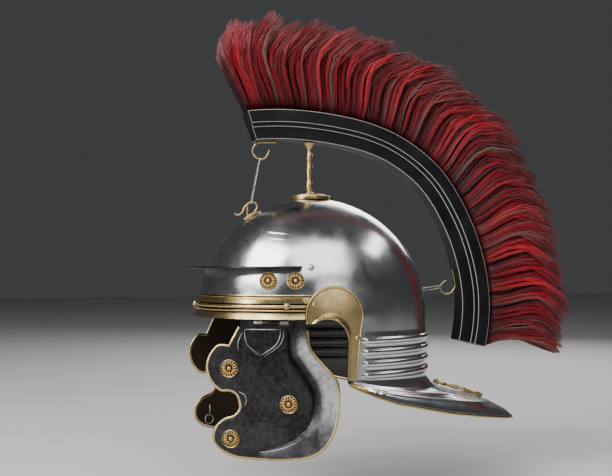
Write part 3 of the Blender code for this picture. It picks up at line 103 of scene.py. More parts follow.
def smooth_path(points: Array, steps: int) -> Array:
    """Runs a Catmull-Rom curve through points.

    Args:
        points: the points, one a row.
        steps: how many spans each stretch between two points gets.

    Returns:
        The curve's points, one a row.
    """
    points = np.asarray(points, float)
    padded = np.vstack([2 * points[0] - points[1], points, 2 * points[-1] - points[-2]])
    t = np.arange(steps)[:, None] / steps
    pieces = []
    for p0, p1, p2, p3 in zip(padded, padded[1:], padded[2:], padded[3:]):
        bend = (2 * p0 - 5 * p1 + 4 * p2 - p3) * t**2 + (3 * p1 - p0 - 3 * p2 + p3) * t**3
        pieces.append(0.5 * (2 * p1 + (p2 - p0) * t + bend))
    return np.vstack([*pieces, points[-1:]])


def read_smooth(rows: Rows, at: Array) -> Array:
    """Reads a table's second column at places in its first, by a smooth curve through its rows."""
    fine = smooth_path(np.array(rows), 12)
    return np.interp(at, fine[:, 0], fine[:, 1])


def arrays(*values: Array) -> list[Array]:
    """Returns values as arrays of one shape."""
    return np.broadcast_arrays(*(np.asarray(value, float) for value in values))


def unit(vectors: Array) -> Array:
    """Returns vectors, which lie along the last axis, with a length of one."""
    return vectors / np.maximum(np.linalg.norm(vectors, axis=-1, keepdims=True), 1e-12)


def ease(share: Array) -> Array:
    """Turns a share into one that starts slowly at 0 and ends slowly at 1."""
    share = np.clip(share, 0, 1)
    return share * share * (3 - 2 * share)


def mirrored(points: Array, side: Side) -> Array:
    """Puts points or directions of the wearer's left on the asked side."""
    return np.asarray(points, float) * np.array([side.value, 1, 1])


def upright(normals: Array) -> Array:
    """Turns normals that point downward over, so that all point upward."""
    return normals * np.sign(normals[..., 2:3])


def frame_at(normal: Array) -> tuple[Array, Array, Array]:
    """Makes a frame whose third direction is a normal.

    Args:
        normal: the direction that the frame stands along.

    Returns:
        Two directions across the normal, and the normal itself.
    """
    normal = unit(np.asarray(normal, float))
    helper = UP if abs(normal[2]) < 0.9 else np.array([0, 1.0, 0])
    across = unit(np.cross(helper, normal))
    return across, np.cross(normal, across), normal


def circle(count: int, across: Array, beside: Array) -> Array:
    """Returns a number of points round a unit circle that two directions span."""
    turn = np.arange(count) * math.tau / count
    return np.outer(np.cos(turn), across) + np.outer(np.sin(turn), beside)


class Form:
    """Gathers points and faces into the mesh of one piece. Each method that adds returns the form."""

    def __init__(self) -> None:
        """Starts with nothing in it."""
        self.points: list[Array] = []
        self.faces: list[tuple[int, ...]] = []
        self.patina_and_painted_light: list[Array] = []
        self.second: list[int] = []
        self.count = 0

    def add(self, points: Array, faces: list[tuple[int, ...]], patina_and_painted_light: Array | None = None) -> "Form":
        """Adds points and faces.

        Args:
            points: the points, one a row.
            faces: each face's corners, counted from the first of these points.
            patina_and_painted_light: how much each point is darkened or brightened, from 0 to 1, and below 0
                in a groove, for dirt and wear and also for painted shade and painted highlights.

        Returns:
            The form.
        """
        self.points.append(points)
        self.faces += [tuple(corner + self.count for corner in face) for face in faces]
        self.patina_and_painted_light.append(np.zeros(len(points)) if patina_and_painted_light is None else patina_and_painted_light)
        self.count += len(points)
        return self

    def grid(
        self,
        rows: Array,
        wrap_rows: bool = False,
        wrap_columns: bool = False,
        caps: bool = False,
        patina_and_painted_light: Array | None = None,
    ) -> "Form":
        """Adds a sheet of four-sided faces.

        Args:
            rows: points as rows by columns.
            wrap_rows: whether the last row joins the first.
            wrap_columns: whether the last column joins the first.
            caps: whether the first and last rows are closed with a face.
            patina_and_painted_light: the dirt, wear and painted light of each point.

        Returns:
            The form.
        """
        rows = np.asarray(rows, float)
        high, wide = rows.shape[:2]
        faces = []
        for row in range(high if wrap_rows else high - 1):
            here, there = row * wide, ((row + 1) % high) * wide
            for column in range(wide if wrap_columns else wide - 1):
                after = (column + 1) % wide
                faces.append((here + column, here + after, there + after, there + column))
        if caps:
            faces.append(tuple(range(wide)))
            faces.append(tuple(range(high * wide - 1, (high - 1) * wide - 1, -1)))
        flat = None if patina_and_painted_light is None else np.asarray(patina_and_painted_light, float).reshape(-1)
        return self.add(rows.reshape(-1, 3), faces, flat)

    def solid(self, rings: Array, patina_and_painted_light: Array | None = None) -> "Form":
        """Adds a closed solid from its rings, each a row of points, with their dirt, wear and painted light.
        """
        return self.grid(rings, wrap_columns=True, caps=True, patina_and_painted_light=patina_and_painted_light)

    def bar(self, lines: list[Array]) -> "Form":
        """Adds a closed solid from the lines that run along it."""
        return self.solid(np.array(lines).transpose(1, 0, 2))

    def tube(self, path: Array, radii: Array | float, sides: int = 10, closed: bool = False) -> "Form":
        """Adds a round tube along a path.

        Args:
            path: the points that the tube's middle follows.
            radii: its radius, one for all or one a point.
            sides: how many sides it has.
            closed: whether it is a loop.

        Returns:
            The form.
        """
        path = np.asarray(path, float)
        count = len(path)
        radii = np.broadcast_to(np.asarray(radii, float), (count,))
        if closed:
            tangents = unit(np.roll(path, -1, axis=0) - np.roll(path, 1, axis=0))
        else:
            tangents = unit(np.gradient(path, axis=0))
        across = frame_at(tangents[0])[0]
        rings = []
        for index in range(count):
            across = unit(across - tangents[index] * (across @ tangents[index]))
            ring = circle(sides, across, np.cross(tangents[index], across))
            rings.append(path[index] + ring * radii[index])
        if closed:
            shift = min(range(sides), key=lambda k: np.linalg.norm(np.roll(rings[-1], k, axis=0) - rings[0]))
            steps = shift if shift <= sides / 2 else shift - sides
            for index in range(count):
                angle = -steps * math.tau / sides * index / (count - 1)
                arm = rings[index] - path[index]
                twisted = arm * math.cos(angle) + np.cross(tangents[index], arm) * math.sin(angle)
                rings[index] = path[index] + twisted
        return self.grid(np.array(rings), wrap_rows=closed, wrap_columns=True, caps=not closed)

    def turned(self, profile: Profile, segments: int, centre: Array, normal: Array) -> "Form":
        """Adds a turned solid.

        Args:
            profile: (radius, height) rows that start and end near the axis.
            segments: how many segments go round.
            centre: where the axis starts.
            normal: the direction of the axis.

        Returns:
            The form.
        """
        across, beside, axis = frame_at(normal)
        ring = circle(segments, across, beside)
        rows = [np.asarray(centre) + ring * max(radius, 1e-5) + axis * height for radius, height in profile]
        return self.solid(np.array(rows))

    def mesh(self, name: str, sharp: float) -> bpy.types.Mesh:
        """Makes the mesh.

        Args:
            name: the mesh's name.
            sharp: the angle in degrees over which an edge stays crisp.

        Returns:
            The mesh, with its faces turned outward.
        """
        mesh = bpy.data.meshes.new(name)
        mesh.from_pydata(np.vstack(self.points).tolist(), [], self.faces)
        # This attribute holds dirt and wear, and painted light as well: painted shade in grooves and hollows,
        # and painted highlights on ridges and edges.
        patina_and_painted_light = mesh.attributes.new("patina_and_painted_light", "FLOAT", "POINT")
        patina_and_painted_light.data.foreach_set("value", np.concatenate(self.patina_and_painted_light).astype(np.float32))
        for index in self.second:
            mesh.polygons[index].material_index = 1
        bm = bmesh.new()
        bm.from_mesh(mesh)
        bmesh.ops.remove_doubles(bm, verts=bm.verts, dist=2e-6)
        bmesh.ops.recalc_face_normals(bm, faces=bm.faces)
        bm.to_mesh(mesh)
        bm.free()
        mesh.shade_smooth()
        mesh.set_sharp_from_angle(angle=math.radians(sharp))
        return mesh


# Finishes


class Recipe:
    """Wires one procedural material, node by node."""

    def __init__(self, name: str) -> None:
        """Starts a material with a Principled shader.

        Args:
            name: the material's name.
        """
        self.material = bpy.data.materials.new(name)
        self.material.use_nodes = True
        self.tree = self.material.node_tree
        self.shader = self.tree.nodes["Principled BSDF"]
        self.place = self.tree.nodes.new("ShaderNodeTexCoord").outputs["Object"]

    def feed(self, target: Socket, value: object) -> None:
        """Sets a socket, or links it where the value is a socket.

        Args:
            target: the socket to fill.
            value: a number, a colour or another socket.
        """
        if isinstance(value, Socket):
            self.tree.links.new(value, target)
        elif isinstance(value, tuple) and len(value) == 3 and target.type == "RGBA":
            target.default_value = (*value, 1.0)
        else:
            target.default_value = value

    def node(self, kind: str, **values: object) -> bpy.types.Node:
        """Adds a node and fills its sockets.

        Args:
            kind: the kind of node.
            values: socket names, with _ for a space, and what goes in.

        Returns:
            The node.
        """
        node = self.tree.nodes.new(f"ShaderNode{kind}")
        for name, value in values.items():
            self.feed(node.inputs[name.replace("_", " ")], value)
        return node

    def stretched(self, scale: Triple, turn: float = 0.0) -> Socket:
        """Returns coordinates stretched by a scale along X, Y and Z, and turned about X in radians."""
        return self.node("Mapping", Vector=self.place, Scale=scale, Rotation=(turn, 0, 0)).outputs["Vector"]

    def noise(
        self,
        scale: float,
        detail: float = 4.0,
        roughness: float = 0.55,
        distortion: float = 0.0,
        place: Socket | None = None,
    ) -> Socket:
        """Adds a cloudy pattern.

        Args:
            scale: how many clouds fit in a metre.
            detail: how many finer layers it has.
            roughness: how strong the finer layers are.
            distortion: how far it is pulled about.
            place: the coordinates, if not the piece's own.

        Returns:
            The socket with the pattern.
        """
        values = {"Scale": scale, "Detail": detail, "Roughness": roughness, "Distortion": distortion}
        return self.node("TexNoise", Vector=place or self.place, **values).outputs["Fac"]

    def ramp(self, value: Socket, stops: tuple[tuple[float, object], ...]) -> Socket:
        """Adds a colour ramp.

        Args:
            value: what the ramp reads.
            stops: (place, colour or grey) rows.

        Returns:
            The socket with the colour.
        """
        node = self.node("ValToRGB", Fac=value)
        elements = node.color_ramp.elements
        while len(elements) < len(stops):
            elements.new(0.5)
        for element, (place, colour) in zip(elements, stops):
            element.position = place
            element.color = (*(colour if isinstance(colour, tuple) else (colour,) * 3), 1.0)
        return node.outputs["Color"]

    def mix(self, share: object, first: object, second: object, blend: str = "MIX") -> Socket:
        """Mixes two colours.

        Args:
            share: how much of the second shows.
            first: the first colour.
            second: the second colour.
            blend: how they are blended.

        Returns:
            The socket with the colour.
        """
        node = self.node("Mix")
        node.data_type = "RGBA"
        node.blend_type = blend
        for socket, value in ((0, share), (6, first), (7, second)):
            self.feed(node.inputs[socket], value)
        return node.outputs[2]

    def maths(self, operation: str, first: object, second: object) -> Socket:
        """Works out a sum from two values.

        Args:
            operation: the name of the sum.
            first: the first value.
            second: the second value.

        Returns:
            The socket with the answer, held between 0 and 1.
        """
        node = self.node("Math")
        node.operation = operation
        node.use_clamp = True
        self.feed(node.inputs[0], first)
        self.feed(node.inputs[1], second)
        return node.outputs[0]

    def blend(self, first: Socket, share: float, second: Socket) -> Socket:
        """Adds a share of one pattern to the rest of another."""
        parts = self.maths("MULTIPLY", first, share), self.maths("MULTIPLY", second, 1 - share)
        return self.maths("ADD", *parts)

    def spread(self, value: Socket, low: float, high: float) -> Socket:
        """Spreads the middle of a pattern from a low to a high value."""
        ends = {"From Min": 0.3, "From Max": 0.7, "To Min": low, "To Max": high}
        return self.node("MapRange", Value=value, **ends).outputs["Result"]

    def attribute(self, name: str) -> Socket:
        """Reads a value that the mesh holds at each point.

        Args:
            name: the attribute's name.

        Returns:
            The socket with the value.
        """
        node = self.node("Attribute")
        node.attribute_name = name
        return node.outputs["Fac"]

    def bump(self, *layers: tuple[Socket, float]) -> None:
        """Adds relief to the shader.

        Args:
            layers: (pattern, depth in metres) rows.
        """
        normal = None
        for height, depth in layers:
            node = self.node("Bump", Strength=1.0, Distance=depth, Height=height)
            if normal is not None:
                self.feed(node.inputs["Normal"], normal)
            normal = node.outputs["Normal"]
        self.feed(self.shader.inputs["Normal"], normal)

    def finish(self, **values: object) -> Material:
        """Fills the shader's sockets by name.

        Args:
            values: socket names, with _ for a space, and what goes in.

        Returns:
            The finished material.
        """
        for name, value in values.items():
            self.feed(self.shader.inputs[name.replace("_", " ")], value)
        return self.material


@dataclass(frozen=True)
class PolishedSteel:
    """Bright steel, lightly planished and wiped, with fine scratches and faint stains. Its inner side is dull
    and rough, and is painted nearly black as shade.
    """

    bright: Triple = (0.66, 0.665, 0.67)
    stained: Triple = (0.42, 0.40, 0.385)
    dull: Triple = (0.03, 0.027, 0.025)
    hammer_depth: float = 1.65 * MM
    inner: bool = False

    def make(self) -> Material:
        """Wires the finish.

        Returns:
            The material.
        """
        r = Recipe("dull steel" if self.inner else "polished steel")
        cloud = r.noise(34, 5, 0.6, 0.6)
        speck = r.noise(420, 3, 0.7)
        scratch = r.noise(90, 3, 0.6, place=r.stretched((1.0, 7.0, 26.0), 0.5))
        stain = r.ramp(cloud, ((0.50, 0.0), (0.78, 0.55)))
        spots = r.ramp(r.maths("MULTIPLY", speck, cloud), ((0.33, 0.0), (0.42, 0.5)))
        tone = r.mix(r.maths("MAXIMUM", stain, spots), self.bright, self.stained)
        rough = r.spread(r.blend(cloud, 0.7, scratch), 0.13, 0.3)
        r.bump((r.noise(19, 1.5, 0.4), self.hammer_depth), (scratch, 0.012 * MM), (speck, 0.02 * MM))
        # Painted shade: the inner side's colour is taken nearly to black; its higher roughness is the real
        # dull finish.
        if self.inner:
            tone = r.mix(0.9, tone, self.dull)
            rough = r.spread(cloud, 0.4, 0.6)
        return r.finish(Base_Color=tone, Metallic=1.0, Roughness=rough)


@dataclass(frozen=True)
class DarkSteel:
    """Blackened steel, mottled, and lightened in places from the attribute, as worn metal and as painted
    highlight, with grooves painted near-black as shade. Its inner side is browner.
    """

    dark: Triple = (0.022, 0.022, 0.024)
    worn: Triple = (0.085, 0.085, 0.09)
    brown: Triple = (0.030, 0.024, 0.021)
    rubbed: Triple = (0.66, 0.66, 0.67)
    groove: Triple = (0.004, 0.004, 0.005)
    inner_tones: tuple[Triple, Triple] = ((0.035, 0.022, 0.014), (0.075, 0.048, 0.03))
    inner: bool = False

    def make(self) -> Material:
        """Wires the finish.

        Returns:
            The material.
        """
        r = Recipe("brown steel" if self.inner else "dark steel")
        cloud = r.noise(24, 6, 0.65, 0.3)
        grain = r.noise(260, 5, 0.7)
        scratch = r.noise(120, 3, 0.6, place=r.stretched((1.0, 20.0, 5.0), 0.9))
        worn = r.ramp(r.blend(cloud, 0.5, grain), ((0.42, 0.0), (0.70, 1.0)))
        base = r.mix(r.ramp(grain, ((0.4, 0.0), (0.65, 1.0))), self.dark, self.brown)
        tone = r.mix(worn, base, self.worn)
        rough = r.spread(cloud, 0.24, 0.38)
        if self.inner:
            tone = r.mix(0.8, tone, r.mix(cloud, *self.inner_tones))
            rough = r.spread(cloud, 0.45, 0.6)
        else:
            # Painted highlight, partly wear: where the attribute is above 0, on the cheek guards' flared
            # border and ridge crowns, the colour goes bright.
            rub_and_painted_highlight = r.maths("MULTIPLY", r.attribute("patina_and_painted_light"), r.ramp(grain, ((0.34, 0.45), (0.56, 1.0))))
            tone = r.mix(rub_and_painted_highlight, tone, self.rubbed)
            # Painted shade: where the attribute is below 0, along the cheek guards' fold, the colour goes
            # nearly black.
            painted_groove_shade = r.ramp(r.maths("MULTIPLY", r.attribute("patina_and_painted_light"), -1.0), ((0.05, 0.0), (0.9, 0.95)))
            tone = r.mix(painted_groove_shade, tone, self.groove)
        r.bump((r.noise(26, 2, 0.5), 0.4 * MM), (grain, 0.04 * MM), (scratch, 0.02 * MM))
        return r.finish(Base_Color=tone, Metallic=1.0, Roughness=rough)


@dataclass(frozen=True)
class Brass:
    """Cast and sheet brass, bright where it is worn smooth and brown where it isn't, with specks of grime,
    and with grooves darkened as grime and painted shade.
    """

    bright: Triple = (0.64, 0.47, 0.215)
    khaki: Triple = (0.40, 0.30, 0.15)
    grime_and_painted_shade: Triple = (0.03, 0.019, 0.01)
    name: str = "brass"
    rough: tuple[float, float] = (0.18, 0.36)

    def make(self) -> Material:
        """Wires the finish.

        Returns:
            The material.
        """
        r = Recipe(self.name)
        cloud = r.noise(55, 5, 0.6, 0.5)
        grain = r.noise(520, 4, 0.65)
        scratch = r.noise(160, 2, 0.6, place=r.stretched((1.0, 14.0, 9.0), 0.4))
        tone = r.mix(r.ramp(cloud, ((0.40, 0.0), (0.70, 0.85))), self.bright, self.khaki)
        tone = r.mix(r.ramp(grain, ((0.58, 0.0), (0.72, 0.5))), tone, self.grime_and_painted_shade)
        # From the attribute: grooves, petal hollows and the feet of beads go dark, partly grime and partly
        # painted shade.
        tone = r.mix(r.attribute("patina_and_painted_light"), tone, self.grime_and_painted_shade)
        rough = r.spread(r.blend(cloud, 0.6, scratch), *self.rough)
        r.bump((r.noise(60, 2, 0.5), 0.18 * MM), (grain, 0.03 * MM), (scratch, 0.012 * MM))
        return r.finish(Base_Color=tone, Metallic=1.0, Roughness=rough)


@dataclass(frozen=True)
class BlackLacquer:
    """Black painted wood of the crest box, satin, with edge lines lightened as worn lacquer and painted
    highlight, and faint brush marks.
    """

    black: Triple = (0.006, 0.006, 0.007)
    dusty: Triple = (0.018, 0.017, 0.017)
    worn: Triple = (0.50, 0.49, 0.48)

    def make(self) -> Material:
        """Wires the finish.

        Returns:
            The material.
        """
        r = Recipe("black lacquer")
        cloud = r.noise(38, 5, 0.6)
        brush = r.noise(240, 3, 0.6, place=r.stretched((1.0, 0.25, 0.25)))
        tone = r.mix(r.ramp(cloud, ((0.45, 0.0), (0.75, 0.8))), self.black, self.dusty)
        # Painted highlight, partly wear: the bevelled edges take a light grey.
        tone = r.mix(r.attribute("patina_and_painted_light"), tone, self.worn)
        rough = r.spread(cloud, 0.30, 0.46)
        r.bump((brush, 0.04 * MM), (cloud, 0.15 * MM))
        return r.finish(Base_Color=tone, Roughness=rough, Specular_IOR_Level=0.13)


@dataclass(frozen=True)
class IronWire:
    """Drawn wire, greyed and a little rusty."""

    bright: Triple = (0.42, 0.40, 0.36)
    rusty: Triple = (0.12, 0.07, 0.045)

    def make(self) -> Material:
        """Wires the finish.

        Returns:
            The material.
        """
        r = Recipe("iron wire")
        cloud = r.noise(180, 4, 0.6)
        grain = r.noise(900, 3, 0.6)
        tone = r.mix(r.ramp(cloud, ((0.45, 0.0), (0.7, 0.8))), self.bright, self.rusty)
        r.bump((grain, 0.03 * MM))
        return r.finish(Base_Color=tone, Metallic=1.0, Roughness=r.spread(cloud, 0.26, 0.5))


@dataclass(frozen=True)
class Horsehair:
    """Dyed hair: deep red with grey-brown strands; painted shade makes it black-red at the roots and on the
    locks' tucked sides, and a painted highlight makes its tips pale pink.
    """

    dye_and_shade_tones: tuple[tuple[float, Triple], ...] = (
        (0.00, (0.014, 0.001, 0.002)), (0.22, (0.06, 0.001, 0.004)), (0.50, (0.17, 0.002, 0.008)),
        (0.72, (0.31, 0.004, 0.014)), (0.84, (0.42, 0.018, 0.028)), (0.90, (0.085, 0.050, 0.042)),
        (0.96, (0.14, 0.100, 0.080)), (1.00, (0.060, 0.038, 0.032)),
    )
    tips: Triple = (0.30, 0.085, 0.09)

    def make(self) -> Material:
        """Wires the finish.

        Returns:
            The material.
        """
        r = Recipe("dyed hair")
        dye_and_shade, height = r.attribute("dye_and_shade"), r.attribute("height")
        # The value read here holds each strand's dye and its painted shade.
        dyed_and_shaded = r.ramp(dye_and_shade, self.dye_and_shade_tones)
        # Painted shade: the hair is darkened towards its roots.
        shade = r.ramp(height, ((0.0, 0.30), (0.30, 0.75), (0.65, 1.0)))
        tone = r.mix(1.0, dyed_and_shaded, shade, "MULTIPLY")
        # Painted highlight: the tips are lightened to pale pink in patches.
        reach = r.ramp(height, ((0.68, 0.0), (0.97, 0.8)))
        tip_highlight = r.maths("MULTIPLY", reach, r.ramp(r.noise(45, 3, 0.6), ((0.30, 0.15), (0.60, 1.0))))
        tone = r.mix(tip_highlight, tone, self.tips)
        return r.finish(Base_Color=tone, Roughness=0.42, Specular_IOR_Level=0.35)


@dataclass(frozen=True)
class HairShade:
    """The dark mass of hair inside the plume, redder towards its top."""

    tones: tuple[Triple, Triple] = ((0.008, 0.001, 0.0015), (0.045, 0.002, 0.004))
    top: Triple = (0.13, 0.010, 0.014)

    def make(self) -> Material:
        """Wires the finish.

        Returns:
            The material.
        """
        r = Recipe("hair shade")
        streak = r.noise(300, 3, 0.6)
        tone = r.mix(r.ramp(streak, ((0.4, 0.0), (0.7, 1.0))), *self.tones)
        tone = r.mix(r.ramp(r.attribute("height"), ((0.50, 0.0), (0.84, 0.8))), tone, self.top)
        r.bump((streak, 0.4 * MM))
        return r.finish(Base_Color=tone, Roughness=0.7)


class Workshop:
    """Keeps the finishes, and turns forms into pieces that ride on a body."""

    def __init__(self) -> None:
        """Makes every finish once."""
        self.steel = PolishedSteel().make()
        self.shaded_inner_steel = PolishedSteel(inner=True).make()
        self.dark_steel = DarkSteel().make()
        self.brown_steel = DarkSteel(inner=True).make()
        self.brass = Brass().make()
        self.cast_brass = Brass(name="cast brass", bright=(0.60, 0.42, 0.18), rough=(0.22, 0.42)).make()
        self.lacquer = BlackLacquer().make()
        self.iron = IronWire().make()
        self.hair = Horsehair().make()
        self.hair_core = HairShade().make()
        self.total = 0

    def piece(
        self, mesh: bpy.types.Mesh, finishes: tuple[Material, ...], slot: Slot, body: Body, node: str
    ) -> None:
        """Makes a piece from a mesh, named after it, and puts it on its body.

        Args:
            mesh: its mesh, in the row frame.
            finishes: its materials, where the mesh has none.
            slot: the record's slot that it stands for; it is not used.
            body: what it rides on.
            node: the solid that it stands for.
        """
        piece = bpy.data.objects.new(mesh.name, mesh)
        bpy.context.scene.collection.objects.link(piece)
        if not mesh.materials:
            for finish in finishes:
                mesh.materials.append(finish)
        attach(piece, body.value)
        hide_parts(node)
        triangles = len(mesh.loops) - 2 * len(mesh.polygons)
        self.total += triangles
        log.info("%s: %d triangles", piece.name, triangles)

    def form_piece(
        self,
        node: str,
        form: Form,
        finish: Material,
        slot: Slot,
        body: Body = Body.HELMET,
        sharp: float = 38.0,
    ) -> None:
        """Makes a piece that stands for one solid, named after it.

        Args:
            node: the solid's name.
            form: the piece's form.
            finish: its material.
            slot: the record's slot that it stands for.
            body: what it rides on.
            sharp: the angle over which an edge stays crisp.
        """
        self.piece(form.mesh(f"{node}_fine", sharp), (finish,), slot, body, node)


# Bowl surface


@dataclass(frozen=True)
class BowlForm:
    """The bowl's outer side: a squarish oval in plan and round in profile."""

    half_width: float = 98 * MM
    front: float = 115.5 * MM
    rear: float = 119.5 * MM
    height: float = 119 * MM
    squareness: float = 2.3
    crown: float = 1.6 * MM
    sunk_edge: float = 0.25 * MM

    @property
    def rim(self) -> float:
        """Returns the rim's Z."""
        return self.crown - self.height

    def share(self, depth: Array) -> Array:
        """Returns the plan's size at a depth below the crown, as a share of the rim's."""
        rise = 1 - np.minimum(np.asarray(depth, float), self.height) / self.height
        return np.sqrt(np.maximum(0, 1 - rise * rise))

    def normal(self, points: Array) -> Array:
        """Returns the outward normals at points of the surface.

        Args:
            points: the points.

        Returns:
            A unit normal for each.
        """
        x, y, z = points[..., 0], points[..., 1], points[..., 2]
        length = np.where(y < 0, self.front, self.rear)
        power = self.squareness
        plan = np.abs(x / self.half_width) ** power + np.abs(y / length) ** power
        scale = np.maximum(plan, 1e-9) ** (2 / power - 1)
        slope_x = scale * np.sign(x) * np.abs(x) ** (power - 1) / self.half_width**power
        slope_y = scale * np.sign(y) * np.abs(y) ** (power - 1) / length**power
        slope_z = np.maximum(0, z - self.rim) / self.height**2
        return unit(np.stack([slope_x, slope_y, np.maximum(slope_z, 1e-9)], axis=-1))

    def point(self, azimuth: Array, depth: Array, lift: Array = 0.0) -> Array:
        """Returns points over the surface.

        Args:
            azimuth: the angle from the front towards the wearer's left.
            depth: the depth below the crown.
            lift: how far over the surface.

        Returns:
            The points.
        """
        azimuth, depth, lift = arrays(azimuth, depth, lift)
        share = self.share(depth)
        ahead, aside = np.cos(azimuth), np.sin(azimuth)
        length = np.where(ahead > 0, self.front, self.rear)
        power = 2 / self.squareness
        x = self.half_width * share * np.sign(aside) * np.abs(aside) ** power
        y = -length * share * np.sign(ahead) * np.abs(ahead) ** power
        points = np.stack([x, y, self.crown - depth], axis=-1)
        return points + self.normal(points) * lift[..., None]

    def side_azimuth(self, y: float, depth: float) -> float:
        """Returns the azimuth on the wearer's left where the surface reaches a Y.

        Args:
            y: the Y wanted.
            depth: the depth below the crown.

        Returns:
            The azimuth.
        """
        length = self.front if y < 0 else self.rear
        share = min(1.0, abs(y) / (length * float(self.share(depth))))
        turn = math.acos(share ** (self.squareness / 2))
        return turn if y < 0 else math.pi - turn

    def side_point(self, y: float, z: float, lift: float = 0.0) -> Array:
        """Returns a point of the wearer's left side from its Y and Z, lifted over the surface."""
        depth = self.crown - z
        return self.point(self.side_azimuth(y, depth), depth, lift)

    def seat(self, azimuth: float, depth: float, lift: float) -> tuple[Array, Array]:
        """Returns a point lifted over the surface, and the outward normal under it."""
        return self.point(azimuth, depth, lift), self.normal(self.point(azimuth, depth))

    def ridge(self, form: Form, path: Array, widths: Array, rises: Array) -> None:
        """Adds a raised cord that follows the surface.

        Args:
            form: what it is added to.
            path: (azimuth, depth) rows.
            widths: its half width at each row.
            rises: its height at each row.
        """
        middle = self.point(path[:, 0], path[:, 1])
        normal = self.normal(middle)
        beside = unit(np.cross(unit(np.gradient(middle, axis=0)), normal))
        rows = []
        for share in (-1, -0.8, -0.55, -0.28, 0, 0.28, 0.55, 0.8, 1):
            height = rises * (1 - share * share) ** 0.8 - self.sunk_edge * abs(share) ** 4
            rows.append(middle + beside * (widths * share)[:, None] + normal * height[:, None])
        form.grid(np.array(rows))


@dataclass(frozen=True)
class NeckForm:
    """The nape below the rim and the neck guard that spreads from it."""

    bowl: BowlForm
    ear_edge: float = 10.5 * MM
    nape_side: float = 57 * MM
    nape_rear: float = 64 * MM
    flare: float = 8 * MM
    reach: float = 222 * MM
    length: float = 102.5 * MM
    step: float = 2 * MM
    drop: float = 51 * MM
    flute_rise: float = 1.4 * MM
    flutes: tuple[float, ...] = (0.34, 0.68)
    flute_half: float = 0.085
    fall: Rows = (
        (0, 0), (0.10, 0.24), (0.25, 0.37), (0.34, 0.43), (0.43, 0.47),
        (0.60, 0.58), (0.68, 0.64), (0.76, 0.68), (0.93, 0.87), (1, 1),
    )
    rim_fall: Rows = (
        (0, 0), (0.13, 0.23), (0.24, 0.38), (0.37, 0.50), (0.50, 0.62), (0.64, 0.72), (0.79, 0.83), (1, 1),
    )

    @property
    def start(self) -> float:
        """Returns the azimuth where the nape starts, behind the ear."""
        return self.bowl.side_azimuth(self.ear_edge, self.bowl.height)

    def share(self, azimuth: Array) -> Array:
        """Returns 0 at the ear and 1 at the middle of the back, for azimuths on either side."""
        return (math.pi - np.abs(np.asarray(azimuth, float) - math.pi) - self.start) / (math.pi - self.start)

    def nape_depth(self, azimuth: Array) -> Array:
        """Returns the depth at which the nape turns into the guard, for azimuths."""
        return self.bowl.height + self.nape_side + (self.nape_rear - self.nape_side) * self.share(azimuth)

    def rim(self, azimuth: Array) -> Array:
        """Returns the guard's outer edge.

        Args:
            azimuth: the columns' azimuths.

        Returns:
            A point for each.
        """
        azimuth = np.asarray(azimuth, float)
        turn = math.pi / 2 * self.share(azimuth)
        side = np.where(azimuth <= math.pi, 1.0, -1.0)
        along = np.sin(turn)
        fall = np.interp(along, [row[0] for row in self.rim_fall], [row[1] for row in self.rim_fall])
        depth = self.bowl.height + self.nape_side + self.step + self.drop * fall
        x = side * (self.bowl.half_width + self.flare) * np.cos(turn)
        y = self.ear_edge + (self.reach - self.ear_edge) * along
        return np.stack([x, y, self.bowl.crown - depth], axis=-1)

    def point(self, azimuth: Array, width: Array, fluted: bool = True) -> Array:
        """Returns points of the guard's upper side.

        Args:
            azimuth: the columns' azimuths.
            width: the share of the way from the nape to the edge.
            fluted: whether the flutes are raised.

        Returns:
            The points.
        """
        azimuth, width = arrays(azimuth, width)
        start = self.bowl.point(azimuth, self.nape_depth(azimuth))
        end = self.rim(azimuth)
        fade = np.minimum(1, np.linalg.norm(end - start, axis=-1) / (0.4 * self.length))
        points = start + (end - start) * width[..., None]
        rise = np.zeros_like(width)
        for middle in self.flutes:
            rise = rise + np.maximum(0, 1 - ((width - middle) / self.flute_half) ** 2) ** 0.75
        fall = read_smooth(self.fall, width)
        points[..., 2] = start[..., 2] + (end[..., 2] - start[..., 2]) * fall
        if fluted:
            points[..., 2] += self.flute_rise * rise * fade
        return points

    def azimuth(self, width: float, y: float) -> float:
        """Finds where a line of the guard reaches a Y on the wearer's left.

        Args:
            width: which line.
            y: the Y wanted.

        Returns:
            The azimuth.
        """
        low, high = self.start, math.pi
        for _ in range(30):
            middle = (low + high) / 2
            if self.point(middle, width, False)[1] < y:
                low = middle
            else:
                high = middle
        return low

    def height(self, x: float, y: float) -> float:
        """Returns the guard's Z near the middle of the back.

        Args:
            x: the X wanted.
            y: the Y wanted.

        Returns:
            The Z there.
        """
        azimuth = np.linspace(math.pi - 0.9, math.pi, 91)[:, None]
        points = self.point(azimuth, np.linspace(0, 1, 61)[None, :], False).reshape(-1, 3)
        gap = (points[:, 0] - abs(x)) ** 2 + (points[:, 1] - y) ** 2
        return float(points[np.argmin(gap), 2])


